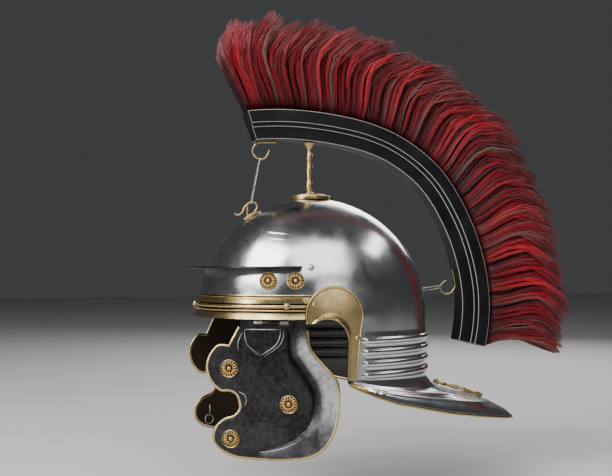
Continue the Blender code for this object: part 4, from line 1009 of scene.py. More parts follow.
@dataclass
class Bowl:
    """The raised steel sheet: dome, ribbed nape and neck guard, with embossed brows."""

    surface: BowlForm
    neck: NeckForm
    first_rib: float = 21 * MM
    rib_pitch: float = 10.8 * MM
    rib_width: float = 5.8 * MM
    rib_rise: float = 2.2 * MM
    ribs: int = 4
    rib_rows: tuple[float, ...] = (-1.12, -0.98, -0.86, -0.6, -0.3, 0, 0.3, 0.6, 0.86, 0.98, 1.12)
    rib_start: float = 0.075
    brow_rise: float = 0.8 * MM
    brows_at: Rows = ((4, 47, 40), (8, 45, 49.6), (50, 66, 46.8), (54, 67, 50.6))

    def columns(self) -> tuple[Array, Array]:
        """Lays out the sheet's columns.

        Returns:
            The azimuths of the front's and the rear's columns.
        """
        start = self.neck.start
        front = np.linspace(-start, start, 101)
        near = np.linspace(0, 0.13, 20)
        half = np.concatenate([near, np.linspace(0.13, 1, 46)[1:]])
        left = start + (math.pi - start) * half
        return front, np.concatenate([left, math.tau - left[-2::-1]])

    def rib_height(self, drop: Array, share: Array) -> Array:
        """Returns how far the ribs rise.

        Args:
            drop: the distance below the rim.
            share: the place between the ear and the middle of the back.

        Returns:
            The rise.
        """
        half = self.rib_width / 2
        along = (share - self.rib_start) * (math.pi - self.neck.start) * 100 * MM
        before = np.minimum(0, along - half)
        rise = np.zeros(np.broadcast(drop, share).shape)
        for rib in range(self.ribs):
            across = drop - (self.first_rib + self.rib_pitch * rib)
            round_end = 1 - (across / half) ** 2 - (before / half) ** 2
            rise = rise + self.rib_rise * np.sqrt(np.maximum(0, round_end))
        return rise

    def sheet(self) -> Form:
        """Draws the sheet's outer side.

        Returns:
            The form, without thickness.
        """
        form = Form()
        front, rear = self.columns()
        around = np.concatenate([front, rear[1:-1]])
        polar = np.radians(np.linspace(0, 90, 43))
        depth = self.surface.height * (1 - np.cos(polar))
        form.grid(self.surface.point(around[None, :], depth[:, None]), wrap_columns=True)
        drops = [0.0]
        for rib in range(self.ribs):
            middle = self.first_rib + self.rib_pitch * rib
            drops += [middle + self.rib_width / 2 * share for share in self.rib_rows]
        drops = np.array(sorted(drops + [6 * MM, 12 * MM]))
        drop = np.broadcast_to(drops[:, None], (len(drops), len(rear)))
        rise = self.rib_height(drop, self.neck.share(rear)[None, :])
        upper = self.surface.point(rear[None, :], self.surface.height + drop, rise)
        last = self.surface.point(rear, self.neck.nape_depth(rear))[None]
        form.grid(np.vstack([upper, last]))
        width = np.linspace(0, 1, 41)
        return form.grid(self.neck.point(rear[None, :], width[:, None]))

    def brows(self, form: Form) -> None:
        """Adds the two embossed cords over each eye.

        Args:
            form: what they are added to.
        """
        for side in (1, -1):
            for first, last, top in self.brows_at:
                share = np.linspace(0, 1, 34)
                long = first < 40
                bend = 6 * (share - 0.25) ** 2 / 0.5625 if long else 1.6 * share
                dip = -1.5 * np.sin(share * math.pi) if first == 8 else 0
                depth = self.surface.height * (1 - np.cos(np.radians(top + bend + dip)))
                azimuth = np.radians(first + (last - first) * share) * side
                swell = np.sin(math.pi * np.clip(share, 0.02, 0.98)) ** 0.5
                wide = (2.1 if long else 1.7) * MM * (0.35 + 0.65 * swell)
                self.surface.ridge(form, np.stack([azimuth, depth], 1), wide, self.brow_rise * swell)

    def build(self, shop: Workshop) -> None:
        """Builds the bowl.

        Args:
            shop: what makes the pieces.
        """
        mesh = self.sheet().mesh("bowl_skin", 60)
        if sum(face.normal.z * face.area for face in mesh.polygons) < 0:
            mesh.flip_normals()
        skin = bpy.data.objects.new("bowl_skin", mesh)
        bpy.context.scene.collection.objects.link(skin)
        thicken = skin.modifiers.new("sheet", "SOLIDIFY")
        thicken.thickness = STEEL
        thicken.offset = -1
        thicken.use_even_offset = True
        thicken.material_offset = 1
        mesh.materials.append(shop.steel)
        # The inner side takes the steel that is painted near-black as shade.
        mesh.materials.append(shop.shaded_inner_steel)
        bpy.context.view_layer.update()
        graph = bpy.context.evaluated_depsgraph_get()
        solid = bpy.data.meshes.new_from_object(skin.evaluated_get(graph))
        bpy.data.objects.remove(skin, do_unlink=True)
        cords = Form()
        self.brows(cords)
        bm = bmesh.new()
        bm.from_mesh(solid)
        bm.from_mesh(cords.mesh("brow_cords", 50))
        bm.to_mesh(solid)
        bm.free()
        solid.name = "bowl_fine"
        solid.shade_smooth()
        solid.set_sharp_from_angle(angle=math.radians(48))
        shop.piece(solid, (shop.steel, shop.shaded_inner_steel), Slot.STEEL, Body.HELMET, "bowl")


# Heads, rosettes and wires


@dataclass(frozen=True)
class Rivet:
    """A domed rivet head on a thin washer-like foot."""

    radius: float
    height: float

    def add(self, form: Form, point: Array, normal: Array) -> Form:
        """Adds the head.

        Args:
            form: what it is added to.
            point: where its foot is.
            normal: the direction that it faces.

        Returns:
            The form.
        """
        rows = [(0, 0), (self.radius, 0), (self.radius, self.height * 0.12)]
        for turn in np.linspace(0, math.pi / 2, 8):
            rows.append((self.radius * 0.93 * math.cos(turn), self.height * (0.14 + 0.86 * math.sin(turn))))
        return form.turned(rows, 28, point, normal)

    def form(self, point: Array, normal: Array, side: Side = Side.LEFT) -> Form:
        """Returns the head on a side, from its point and normal on the wearer's left."""
        return self.add(Form(), mirrored(point, side), mirrored(normal, side))


@dataclass(frozen=True)
class Rosette:
    """A cast rosette: a raised rim, a ring of oval petals and a domed boss."""

    radius: float = 8.3 * MM
    height: float = 2.6 * MM
    petals: int = 16
    rows: tuple[float, ...] = (
        0.001, 0.07, 0.14, 0.20, 0.245, 0.27, 0.30, 0.35, 0.42, 0.50, 0.585,
        0.67, 0.75, 0.81, 0.85, 0.875, 0.89, 0.905, 0.945, 0.98, 0.999,
    )

    def relief(self, share: Array, turn: Array) -> tuple[Array, Array]:
        """Returns the height, and the darkening between the petals, which is patina and painted shade.

        Args:
            share: the share of the radius.
            turn: the angle round the middle.

        Returns:
            Heights as shares of the whole height, and how dark each point is.
        """
        phase = np.mod(turn * self.petals / math.tau, 1.0) - 0.5
        along = (share - 0.61) / 0.28
        oval = 1 - along**2 - (phase / 0.42) ** 2
        petal = np.sqrt(np.maximum(0, oval))
        rim = np.sqrt(np.maximum(0, 1 - ((share - 0.945) / 0.055) ** 2))
        boss = np.sqrt(np.maximum(0, 1 - (share / 0.27) ** 2))
        height = 0.22 + 0.46 * petal
        height = np.where(share > 0.885, 0.30 + 0.30 * rim, height)
        height = np.where(share < 0.27, 0.34 + 0.66 * boss, height)
        between = (share > 0.26) & (share < 0.89)
        # Painted shade, with some patina: the hollows between the petals are darkened.
        dirt_wear_and_painted_light = np.where(between, np.clip(1 - petal * 2.4, 0, 1), 0.0)
        return height, dirt_wear_and_painted_light

    def form(self, point: Array, normal: Array) -> Form:
        """Returns the rosette's form.

        Args:
            point: the middle of its flat back.
            normal: the direction that it faces.

        Returns:
            The form.
        """
        across, beside, axis = frame_at(normal)
        count = self.petals * 8
        turn = np.arange(count) * math.tau / count
        ring = circle(count, across, beside)
        share, turn = np.meshgrid(self.rows, turn, indexing="ij")
        height, dirt_wear_and_painted_light = self.relief(share, turn)
        face = point + ring[None] * (share * self.radius)[..., None]
        face = face + axis * (height * self.height)[..., None]
        edge = point + ring * self.radius
        back = point + ring * self.radius * 0.01
        rings = np.concatenate([face, edge[None], back[None]])
        # The edge and back rings are half darkened: painted shade at the rosette's foot.
        return Form().solid(rings, np.concatenate([dirt_wear_and_painted_light, np.full((2, count), 0.5)]))


@dataclass(frozen=True)
class TempleRosettes:
    """The two rosettes over each temple."""

    surface: BowlForm
    over_rim: float = 35 * MM
    places: tuple[tuple[str, float], ...] = (("front", -61.3 * MM), ("rear", -37.2 * MM))

    def build(self, shop: Workshop) -> None:
        """Builds the rosettes.

        Args:
            shop: what makes the pieces.
        """
        depth = self.surface.height - self.over_rim
        for side in Side:
            for name, y in self.places:
                azimuth = self.surface.side_azimuth(y, depth)
                point, normal = self.surface.seat(azimuth, depth, CLEARANCE)
                form = Rosette().form(mirrored(point, side), mirrored(normal, side))
                shop.form_piece(f"bowl_rosette_{name}_{side.label}", form, shop.cast_brass, Slot.BRASS)


# Brow and ear fittings


@dataclass
class BrowGuard:
    """The flat peak across the brow, thicker at its ends, and its two bolts."""

    surface: BowlForm
    depth: float = 71.5 * MM
    front: float = 19 * MM
    side: float = 7.5 * MM
    thickness: float = 2.2 * MM
    half_angle: float = math.radians(76)
    bolt_radius: float = 3 * MM
    bolt_step: float = math.radians(4.5)

    def build(self, shop: Workshop) -> None:
        """Builds the peak and its bolts.

        Args:
            shop: what makes the pieces.
        """
        azimuth = np.linspace(-self.half_angle, self.half_angle, 121)
        share = np.abs(azimuth) / self.half_angle
        width = self.side + (self.front - self.side) * np.cos(math.pi / 2 * share) ** 1.3
        width = width * (1 - 0.3 * ease((share - 0.97) / 0.03))
        half = self.thickness / 2 * (0.86 + 0.34 * ease((share - 0.80) / 0.05))
        middle = self.surface.point(azimuth, self.depth)
        out = self.surface.normal(middle)
        out[:, 2] = 0
        out = unit(out)
        rows = [self.surface.point(azimuth, self.depth - half, CLEARANCE)]
        for turn in np.linspace(90, -90, 11):
            nose = half * 0.8 * math.cos(math.radians(turn))
            rise = half * 0.9 * math.sin(math.radians(turn))
            rows.append(middle + out * (width - half * 0.8 + nose)[:, None] + UP * rise[:, None])
        rows.append(self.surface.point(azimuth, self.depth + half, CLEARANCE))
        form = Form().bar(rows)
        # The peak is polished steel, but takes the blackened finish as a painted dark reflection.
        shop.form_piece("brow_guard", form, shop.dark_steel, Slot.STEEL)
        for side in Side:
            point, normal = self.surface.seat(self.half_angle + self.bolt_step, self.depth, CLEARANCE)
            form = Rivet(self.bolt_radius, self.bolt_radius * 1.3).form(point, normal, side)
            shop.form_piece(f"brow_guard_bolt_{side.label}", form, shop.steel, Slot.STEEL)


@dataclass
class BrowBand:
    """The beaded brass band round the brow, and its three studs."""

    surface: BowlForm
    height: float = 22 * MM
    sheet: float = 1.0 * MM
    bead: float = 1.4 * MM
    flange: float = 2 * MM
    end_y: float = -30.3 * MM
    tongue_y: float = -19.364 * MM
    stud_radius: float = 3 * MM
    stud_y: float = -46 * MM

    def profile(self) -> tuple[Array, Array, Array]:
        """Draws the band's section, down the outer side and back up.

        Returns:
            Shares of the height, lifts over the bowl, and how dark each row is made, as grime and painted
            shade in the grooves and under the beads.
        """
        face = CLEARANCE + self.sheet
        groove = face - 0.55 * MM
        rows = [(0.0, face - 0.5 * MM, 0.0), (0.0, face, 0.0), (0.035, face + 0.2 * MM, 0.0)]
        # Grooves are darkened fully and the feet of the beads partly: grime and painted shade.
        rows += [(0.055, groove, 1.0), (0.07, groove, 1.0), (0.09, face + 0.2 * MM, 0.0), (0.11, face, 0.0)]
        for share in np.linspace(0.13, 0.35, 6):
            rows.append((share, face + self.bead / 7 * math.sin(math.pi * (share - 0.1) / 0.26), 0.0))
        rows += [(0.365, groove, 1.0), (0.405, groove, 1.0)]
        for low, high in ((0.41, 0.555), (0.605, 0.695)):
            for turn in np.linspace(0, math.pi, 9):
                share = (low + high) / 2 - (high - low) / 2 * math.cos(turn)
                lift = face - 0.1 * MM + self.bead * 1.15 * math.sin(turn)
                rows.append((share, lift, 0.6 if lift < face else 0.0))
            rows += [(high + 0.008, groove, 1.0), (high + 0.042, groove, 1.0)]
        for share in np.linspace(0.75, 0.98, 7):
            rows.append((share, face + self.flange * ((share - 0.74) / 0.26) ** 1.5, 0.0))
        rows += [(1.0, face + self.flange * 0.98, 0.0), (1.0, face + self.flange * 0.55, 0.0)]
        rows += [(0.985, CLEARANCE, 0.0), (0.0, CLEARANCE, 0.0)]
        table = np.array(rows)
        return table[:, 0], table[:, 1], table[:, 2]

    def build(self, shop: Workshop) -> None:
        """Builds the band and its studs.

        Args:
            shop: what makes the pieces.
        """
        share, lift, dirt_wear_and_painted_light = self.profile()
        end = self.surface.side_azimuth(self.end_y, self.surface.height)
        tongue = self.surface.side_azimuth(self.tongue_y, self.surface.height)
        nudge = CLEARANCE / self.surface.half_width
        middle = np.linspace(-end, end, 121)
        stations = np.concatenate([[-tongue, -end - nudge], middle, [end + nudge, tongue]])
        depth = self.surface.height - self.height * (1 - share)
        lifts = np.broadcast_to(lift, (len(stations), len(lift))).copy()
        lifts[[0, 1, -2, -1]] = np.minimum(lift, CLEARANCE + self.sheet)
        rings = self.surface.point(stations[:, None], depth[None, :], lifts)
        form = Form().solid(rings, np.broadcast_to(dirt_wear_and_painted_light, lifts.shape))
        shop.form_piece("brow_band", form, shop.brass, Slot.BRASS, sharp=50)
        depth = self.surface.height - self.height * 0.53
        side = self.surface.side_azimuth(self.stud_y, depth)
        for name, azimuth in (("front", 0.0), ("left", side), ("right", -side)):
            point, normal = self.surface.seat(azimuth, depth, 2 * CLEARANCE + self.sheet + self.bead)
            form = Rivet(self.stud_radius, self.stud_radius * 0.9).form(point, normal)
            shop.form_piece(f"band_stud_{name}", form, shop.brass, Slot.BRASS)


@dataclass
class EarGuard:
    """A comma-shaped ear guard with a bright bead on its outer edge and a lip round the ear."""

    surface: BowlForm
    side: Side = Side.LEFT
    head_radius: float = 27.2 * MM
    head_y: float = -2.5 * MM
    head_z: float = -114.4 * MM
    arch_radius: float = 20.2 * MM
    arch_y: float = -10.3 * MM
    arch_drop: float = 20 * MM
    tail_width: float = 8.8 * MM
    nape_side: float = 57 * MM
    lift: float = 1.9 * MM
    lip: float = 4.5 * MM
    lip_rows: Rows = ((1, 0.72), (0.7, 0.97), (0.3, 1), (0, 0.9))
    thickness: float = 1.2 * MM
    rivet_radius: float = 2.1 * MM

    def stations(self) -> Array:
        """Lays out the guard's two edges, from the front to its foot.

        Returns:
            Rows of outer Y, outer Z, inner Y and inner Z.
        """
        arch_z = self.surface.rim - self.arch_drop
        foot_z = self.surface.rim - self.nape_side + 4 * CLEARANCE
        share = np.linspace(0, 1, 46)
        outer, inner = np.radians(196 - 200 * share), math.radians(126) * (1 - share)
        outer_y = self.head_y + self.head_radius * np.cos(outer)
        outer_z = self.head_z + self.head_radius * np.sin(outer)
        inner_y = self.arch_y + self.arch_radius * np.cos(inner)
        inner_z = arch_z + self.arch_radius * np.sin(inner)
        head = np.stack([outer_y, outer_z, inner_y, inner_z], axis=1)
        share = np.linspace(0, 1, 22)[1:]
        foot = [inner_y[-1] + self.tail_width, foot_z, inner_y[-1], foot_z]
        shares = np.stack([share**0.7, share, share, share], axis=1)
        return np.vstack([head, head[-1] + (foot - head[-1]) * shares])

    def section(self, width: float) -> list[Triple]:
        """Returns (share across, lift, darkening) rows of a section; the darkening beside the bead and at the
        lip's foot is grime and painted shade.

        Args:
            width: how wide the guard is there.

        Returns:
            The rows, over the outer side and back.
        """
        top = self.lift + self.thickness
        bead = min(0.3, 1.7 * MM / width)
        edge = min(0.16, 1.1 * MM / width)
        rows = [(0.0, self.lift, 0.0)]
        for turn in np.linspace(0, math.pi, 7):
            share = bead / 2 - bead / 2 * math.cos(turn)
            rows.append((share, top - 0.1 * MM + 0.75 * MM * math.sin(turn), 0.0))
        # Beside the bead and at the foot of the lip the brass is darkened: grime and painted shade.
        rows.append((bead + 0.02, top - 0.1 * MM, 0.75))
        rows += [(share, top - 0.15 * MM, 0.0) for share in np.linspace(bead + 0.06, 1 - edge * 2.2, 6)]
        rows.append((1 - edge * 1.5, top + 0.4 * MM, 0.25))
        for inward, rise in self.lip_rows:
            rows.append((1 - edge * inward, self.lift + self.lip * rise, 0.0))
        return [*rows, (1.0, self.lift, 0.0), (0.5, self.lift, 0.0)]

    def build(self, shop: Workshop) -> None:
        """Builds the guard and its two rivets.

        Args:
            shop: what makes the pieces.
        """
        rings, dirt_wear_and_painted_light = [], []
        for outer_y, outer_z, inner_y, inner_z in self.stations():
            width = max(2 * MM, math.hypot(inner_y - outer_y, inner_z - outer_z))
            ring = []
            for share, lift, dark in self.section(width):
                y = outer_y + (inner_y - outer_y) * share
                z = outer_z + (inner_z - outer_z) * share
                ring.append(self.surface.side_point(y, z, lift))
            rings.append(mirrored(np.array(ring), self.side))
            dirt_wear_and_painted_light.append([dark for _, _, dark in self.section(width)])
        form = Form().solid(np.array(rings), np.array(dirt_wear_and_painted_light))
        shop.form_piece(f"ear_guard_{self.side.label}", form, shop.brass, Slot.BRASS, sharp=55)
        tail_y = self.arch_y + self.arch_radius + self.tail_width * 0.92
        spots = (
            ("upper", self.head_y - self.head_radius * 0.72, self.head_z + self.head_radius * 0.37),
            ("lower", tail_y, self.head_z - self.head_radius * 0.76),
        )
        for name, y, z in spots:
            point = self.surface.side_point(y, z, self.lift + self.thickness + CLEARANCE)
            normal = self.surface.normal(self.surface.side_point(y, z))
            form = Rivet(self.rivet_radius, self.rivet_radius * 0.9).form(point, normal, self.side)
            shop.form_piece(f"ear_rivet_{name}_{self.side.label}", form, shop.brass, Slot.BRASS)


# Neck guard fittings


@dataclass
class NeckTrim:
    """The brass bead on the neck guard's edge, its corner pieces, and the studs."""

    neck: NeckForm
    width: float = 2.6 * MM
    lip: float = 0.4 * MM
    stud_radius: float = 1.8 * MM
    stud_y: float = 37.5 * MM
    stud_pitch: float = 7 * MM
    corner_length: float = 17 * MM

    def edge(self, azimuth: Array) -> tuple[Array, Array, Array]:
        """Returns the edge's points with the outward and upward directions across it.

        Args:
            azimuth: the columns' azimuths.

        Returns:
            Points, outward directions and upward directions.
        """
        start = self.neck.start
        edge = self.neck.rim(azimuth)
        inner = self.neck.point(azimuth, 0.93, False)
        low, high = np.maximum(start, azimuth - 0.02), np.minimum(math.tau - start, azimuth + 0.02)
        along = unit(self.neck.rim(high) - self.neck.rim(low))
        outward = edge - inner
        outward = unit(outward - along * np.sum(outward * along, axis=1, keepdims=True))
        return edge, outward, upright(np.cross(along, outward))

    def corner(self, form: Form, side: Side) -> None:
        """Adds the folded brass piece on a front corner of the guard, with its rivet.

        Args:
            form: what it is added to.
            side: which side it is on.
        """
        start, end = self.neck.start, self.neck.azimuth(0.9, self.neck.ear_edge + self.corner_length)
        lines = []
        for share in np.linspace(0.004, 1, 12):
            azimuth = start + (end - start) * share
            inner = 0.30 + 0.62 * share**1.5
            width = np.linspace(1.0, inner, 7)
            lines.append(mirrored(self.neck.point(np.full(7, azimuth), width, False), side))
        top = np.array(lines)
        along, across = np.gradient(top, axis=0), np.gradient(top, axis=1)
        normal = upright(unit(np.cross(along, across)))
        rings = np.concatenate([top + normal * CLEARANCE, (top + normal * 0.9 * MM)[:, ::-1]], axis=1)
        form.solid(rings)
        foot = (top + normal * 0.8 * MM)[4, 3]
        Rivet(self.stud_radius, self.stud_radius * 0.8).add(form, foot, normal[4, 3])

    def build(self, shop: Workshop) -> None:
        """Builds the bead, its corner pieces and the studs.

        Args:
            shop: what makes the pieces.
        """
        start = self.neck.start
        share = np.linspace(0, 1, 91)
        left = start + (math.pi - start) * share
        azimuth = np.concatenate([left, math.tau - left[-2::-1]])
        edge, outward, upward = self.edge(azimuth)
        edge = edge - upward * STEEL / 2 + outward * CLEARANCE * 0.7
        high = STEEL / 2 + self.lip
        rows = []
        for turn in np.linspace(100, -100, 15):
            out = CLEARANCE + self.width * (0.18 + 0.82 * max(0.0, math.cos(math.radians(turn)))) - 0.1 * MM
            rows.append(edge + outward * out + upward * (high * math.sin(math.radians(turn))))
        rows.append(edge + outward * CLEARANCE - upward * high)
        rows.append(edge + outward * CLEARANCE + upward * high)
        form = Form().bar(rows)
        for side in Side:
            self.corner(form, side)
        shop.form_piece("neck_trim", form, shop.brass, Slot.BRASS, sharp=60)
        for side in Side:
            for number in (1, 2):
                at = self.neck.azimuth(0.80, self.stud_y + self.stud_pitch * (number - 1))
                centre = self.neck.point(at, 0.80, False)
                ahead = self.neck.point(at + 0.02, 0.80, False) - centre
                out = self.neck.point(at, 0.88, False) - centre
                normal = upright(unit(np.cross(ahead, out)))
                point = centre + normal * CLEARANCE * 1.5
                form = Rivet(self.stud_radius, self.stud_radius * 0.8).form(point, normal, side)
                shop.form_piece(f"neck_stud_{number}_{side.label}", form, shop.brass, Slot.BRASS)


@dataclass
class CarryingHandle:
    """The cast handle on the neck guard and the wire eyelets that hold its ends."""

    neck: NeckForm
    half_width: float = 31 * MM
    reach: float = 28 * MM
    y: float = 156 * MM
    pivot_z: float = -197.217 * MM
    bar: float = 2 * MM
    pin: float = 1.5 * MM
    end: float = 6 * MM
    eyelet_wire: float = 0.8 * MM
    eyelet_out: float = 4.2 * MM
    rows: Rows = ((1.065, 0.01), (0.97, 0.20), (0.90, 0.62), (0.72, 0.93), (0.42, 1.0), (0.20, 1.0))

    def build(self, shop: Workshop) -> None:
        """Builds the handle and its eyelets.

        Args:
            shop: what makes the pieces.
        """
        loop = self.pin + self.eyelet_wire + 2 * CLEARANCE
        low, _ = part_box("carrying_handle")
        pivot_z = self.pivot_z
        bar_y = self.y + self.reach
        guard = max(self.neck.height(0, bar_y), self.neck.height(self.half_width, bar_y))
        bar_z = max(guard + self.bar * 1.6 + 4 * CLEARANCE, low.z + self.bar)
        left = [(self.half_width + self.end, self.y, pivot_z)]
        for across, behind in self.rows:
            z = pivot_z + (bar_z - pivot_z) * behind
            left.append((self.half_width * across, self.y + self.reach * behind, z))
        points = left + [(0, bar_y, bar_z)] + [(-x, y, z) for x, y, z in reversed(left)]
        path = smooth_path(np.array(points), 12)
        length = np.concatenate([[0], np.cumsum(np.linalg.norm(np.diff(path, axis=0), axis=1))])
        share = 1 - np.abs(length / length[-1] * 2 - 1)
        bulge = 0.55 * np.abs(np.sin(math.pi * 3.5 * share)) ** 2
        collar = 0.22 * np.abs(np.sin(math.pi * 14 * share)) ** 6
        radii = np.where(share <= 0.14, self.pin, self.bar * (0.80 + bulge + collar * (share > 0.3)))
        radii = np.where((share > 0.14) & (share < 0.18), self.bar * 0.95, radii)
        radii[[0, -1]] *= 0.6
        form = Form().tube(path, radii, 16)
        shop.form_piece("carrying_handle", form, shop.cast_brass, Slot.BRASS, Body.HANDLE, sharp=70)
        for side in Side:
            x = self.half_width + self.eyelet_out
            foot = self.neck.height(x, self.y) + CLEARANCE * 1.5
            wire = [(x, self.y, foot), (x, self.y, (foot + pivot_z - loop) / 2)]
            for step in range(33):
                turn = math.radians(-90 + 10 * step)
                wire.append((x, self.y + math.cos(turn) * loop, pivot_z + math.sin(turn) * loop))
            form = Form().tube(mirrored(np.array(wire), side), self.eyelet_wire, 10)
            shop.form_piece(f"handle_eyelet_{side.label}", form, shop.iron, Slot.IRON, sharp=70)


# Cheek guards


@dataclass(frozen=True)
class CheekForm:
    """The plane of a cheek guard below its hinge, and the fold where its border flares."""

    surface: BowlForm
    hinge_y: float = -56.5 * MM
    hinge_gap: float = 2 * MM
    hinge_drop: float = 3.1 * MM
    width: float = 120 * MM
    height: float = 123 * MM
    flare: float = 7 * MM
    flare_width: float = 26 * MM
    valley: float = 1.5 * MM
    valley_width: float = 1.9 * MM
    steel: float = 1.5 * MM
    fade: tuple[float, float] = (-0.26, 0.22)
    fold: Rows = (
        (0.080, 0), (0.083, 0.11), (0.100, 0.26), (0.135, 0.31), (0.205, 0.41), (0.262, 0.50),
        (0.278, 0.59), (0.253, 0.72), (0.175, 0.81), (0.045, 0.89), (-0.110, 0.935), (-0.240, 0.955),
    )

    def hinge(self) -> tuple[Array, Array, Array]:
        """Finds the hinge on the wearer's left.

        Returns:
            The hinge point, and the rearward and outward directions.
        """
        azimuth = self.surface.side_azimuth(self.hinge_y, self.surface.height)
        skin = self.surface.point(azimuth, self.surface.height)
        outward = self.surface.normal(skin)
        outward = unit(outward * np.array([1, 1, 0]))
        rearward = np.array([-outward[1], outward[0], 0])
        point = skin - outward * (STEEL + self.hinge_gap)
        point[2] = self.surface.rim - self.hinge_drop
        return point, rearward, outward

    def beyond_fold(self, u: Array, v: Array) -> Array:
        """Returns how far points lie beyond the fold.

        Args:
            u: how far to the rear.
            v: how far down.

        Returns:
            The distances, 0 inside the fold.
        """
        fold = smooth_path(np.array(self.fold) * [self.width, self.height], 4)
        best = np.full(np.shape(u), 1e9)
        for (x0, y0), (x1, y1) in zip(fold, fold[1:]):
            span_x, span_y = x1 - x0, y1 - y0
            share = np.clip(((u - x0) * span_x + (v - y0) * span_y) / (span_x**2 + span_y**2), 0, 1)
            off_x, off_y = u - x0 - span_x * share, v - y0 - span_y * share
            far = np.hypot(off_x, off_y)
            signed = np.copysign(far, off_x * span_y - off_y * span_x)
            best = np.where(far < np.abs(best), signed, best)
        return np.maximum(0, best)

    def point(self, u: Array, v: Array, lift: Array, side: Side) -> Array:
        """Returns points over the outer side.

        Args:
            u: how far to the rear of the hinge point.
            v: how far down.
            lift: how far outward.
            side: which side it is on.

        Returns:
            The points.
        """
        u, v, lift = arrays(u, v, lift)
        point, rearward, outward = self.hinge()
        beyond = self.beyond_fold(u, v)
        share = np.minimum(1, beyond / self.flare_width)
        valley = beyond / self.valley_width * np.exp(1 - beyond / self.valley_width)
        rise = (self.flare * share**1.3 - self.valley * valley) * np.clip(v / (self.height * 0.35), 0, 1)
        start, length = self.fade
        low = np.clip((v / self.height - 0.60) / 0.15, 0, 1)
        rise = rise * (1 - low * (1 - ease((u / self.width - start) / length)))
        place = point + u[..., None] * rearward - v[..., None] * UP + (rise + lift)[..., None] * outward
        return mirrored(place, side)


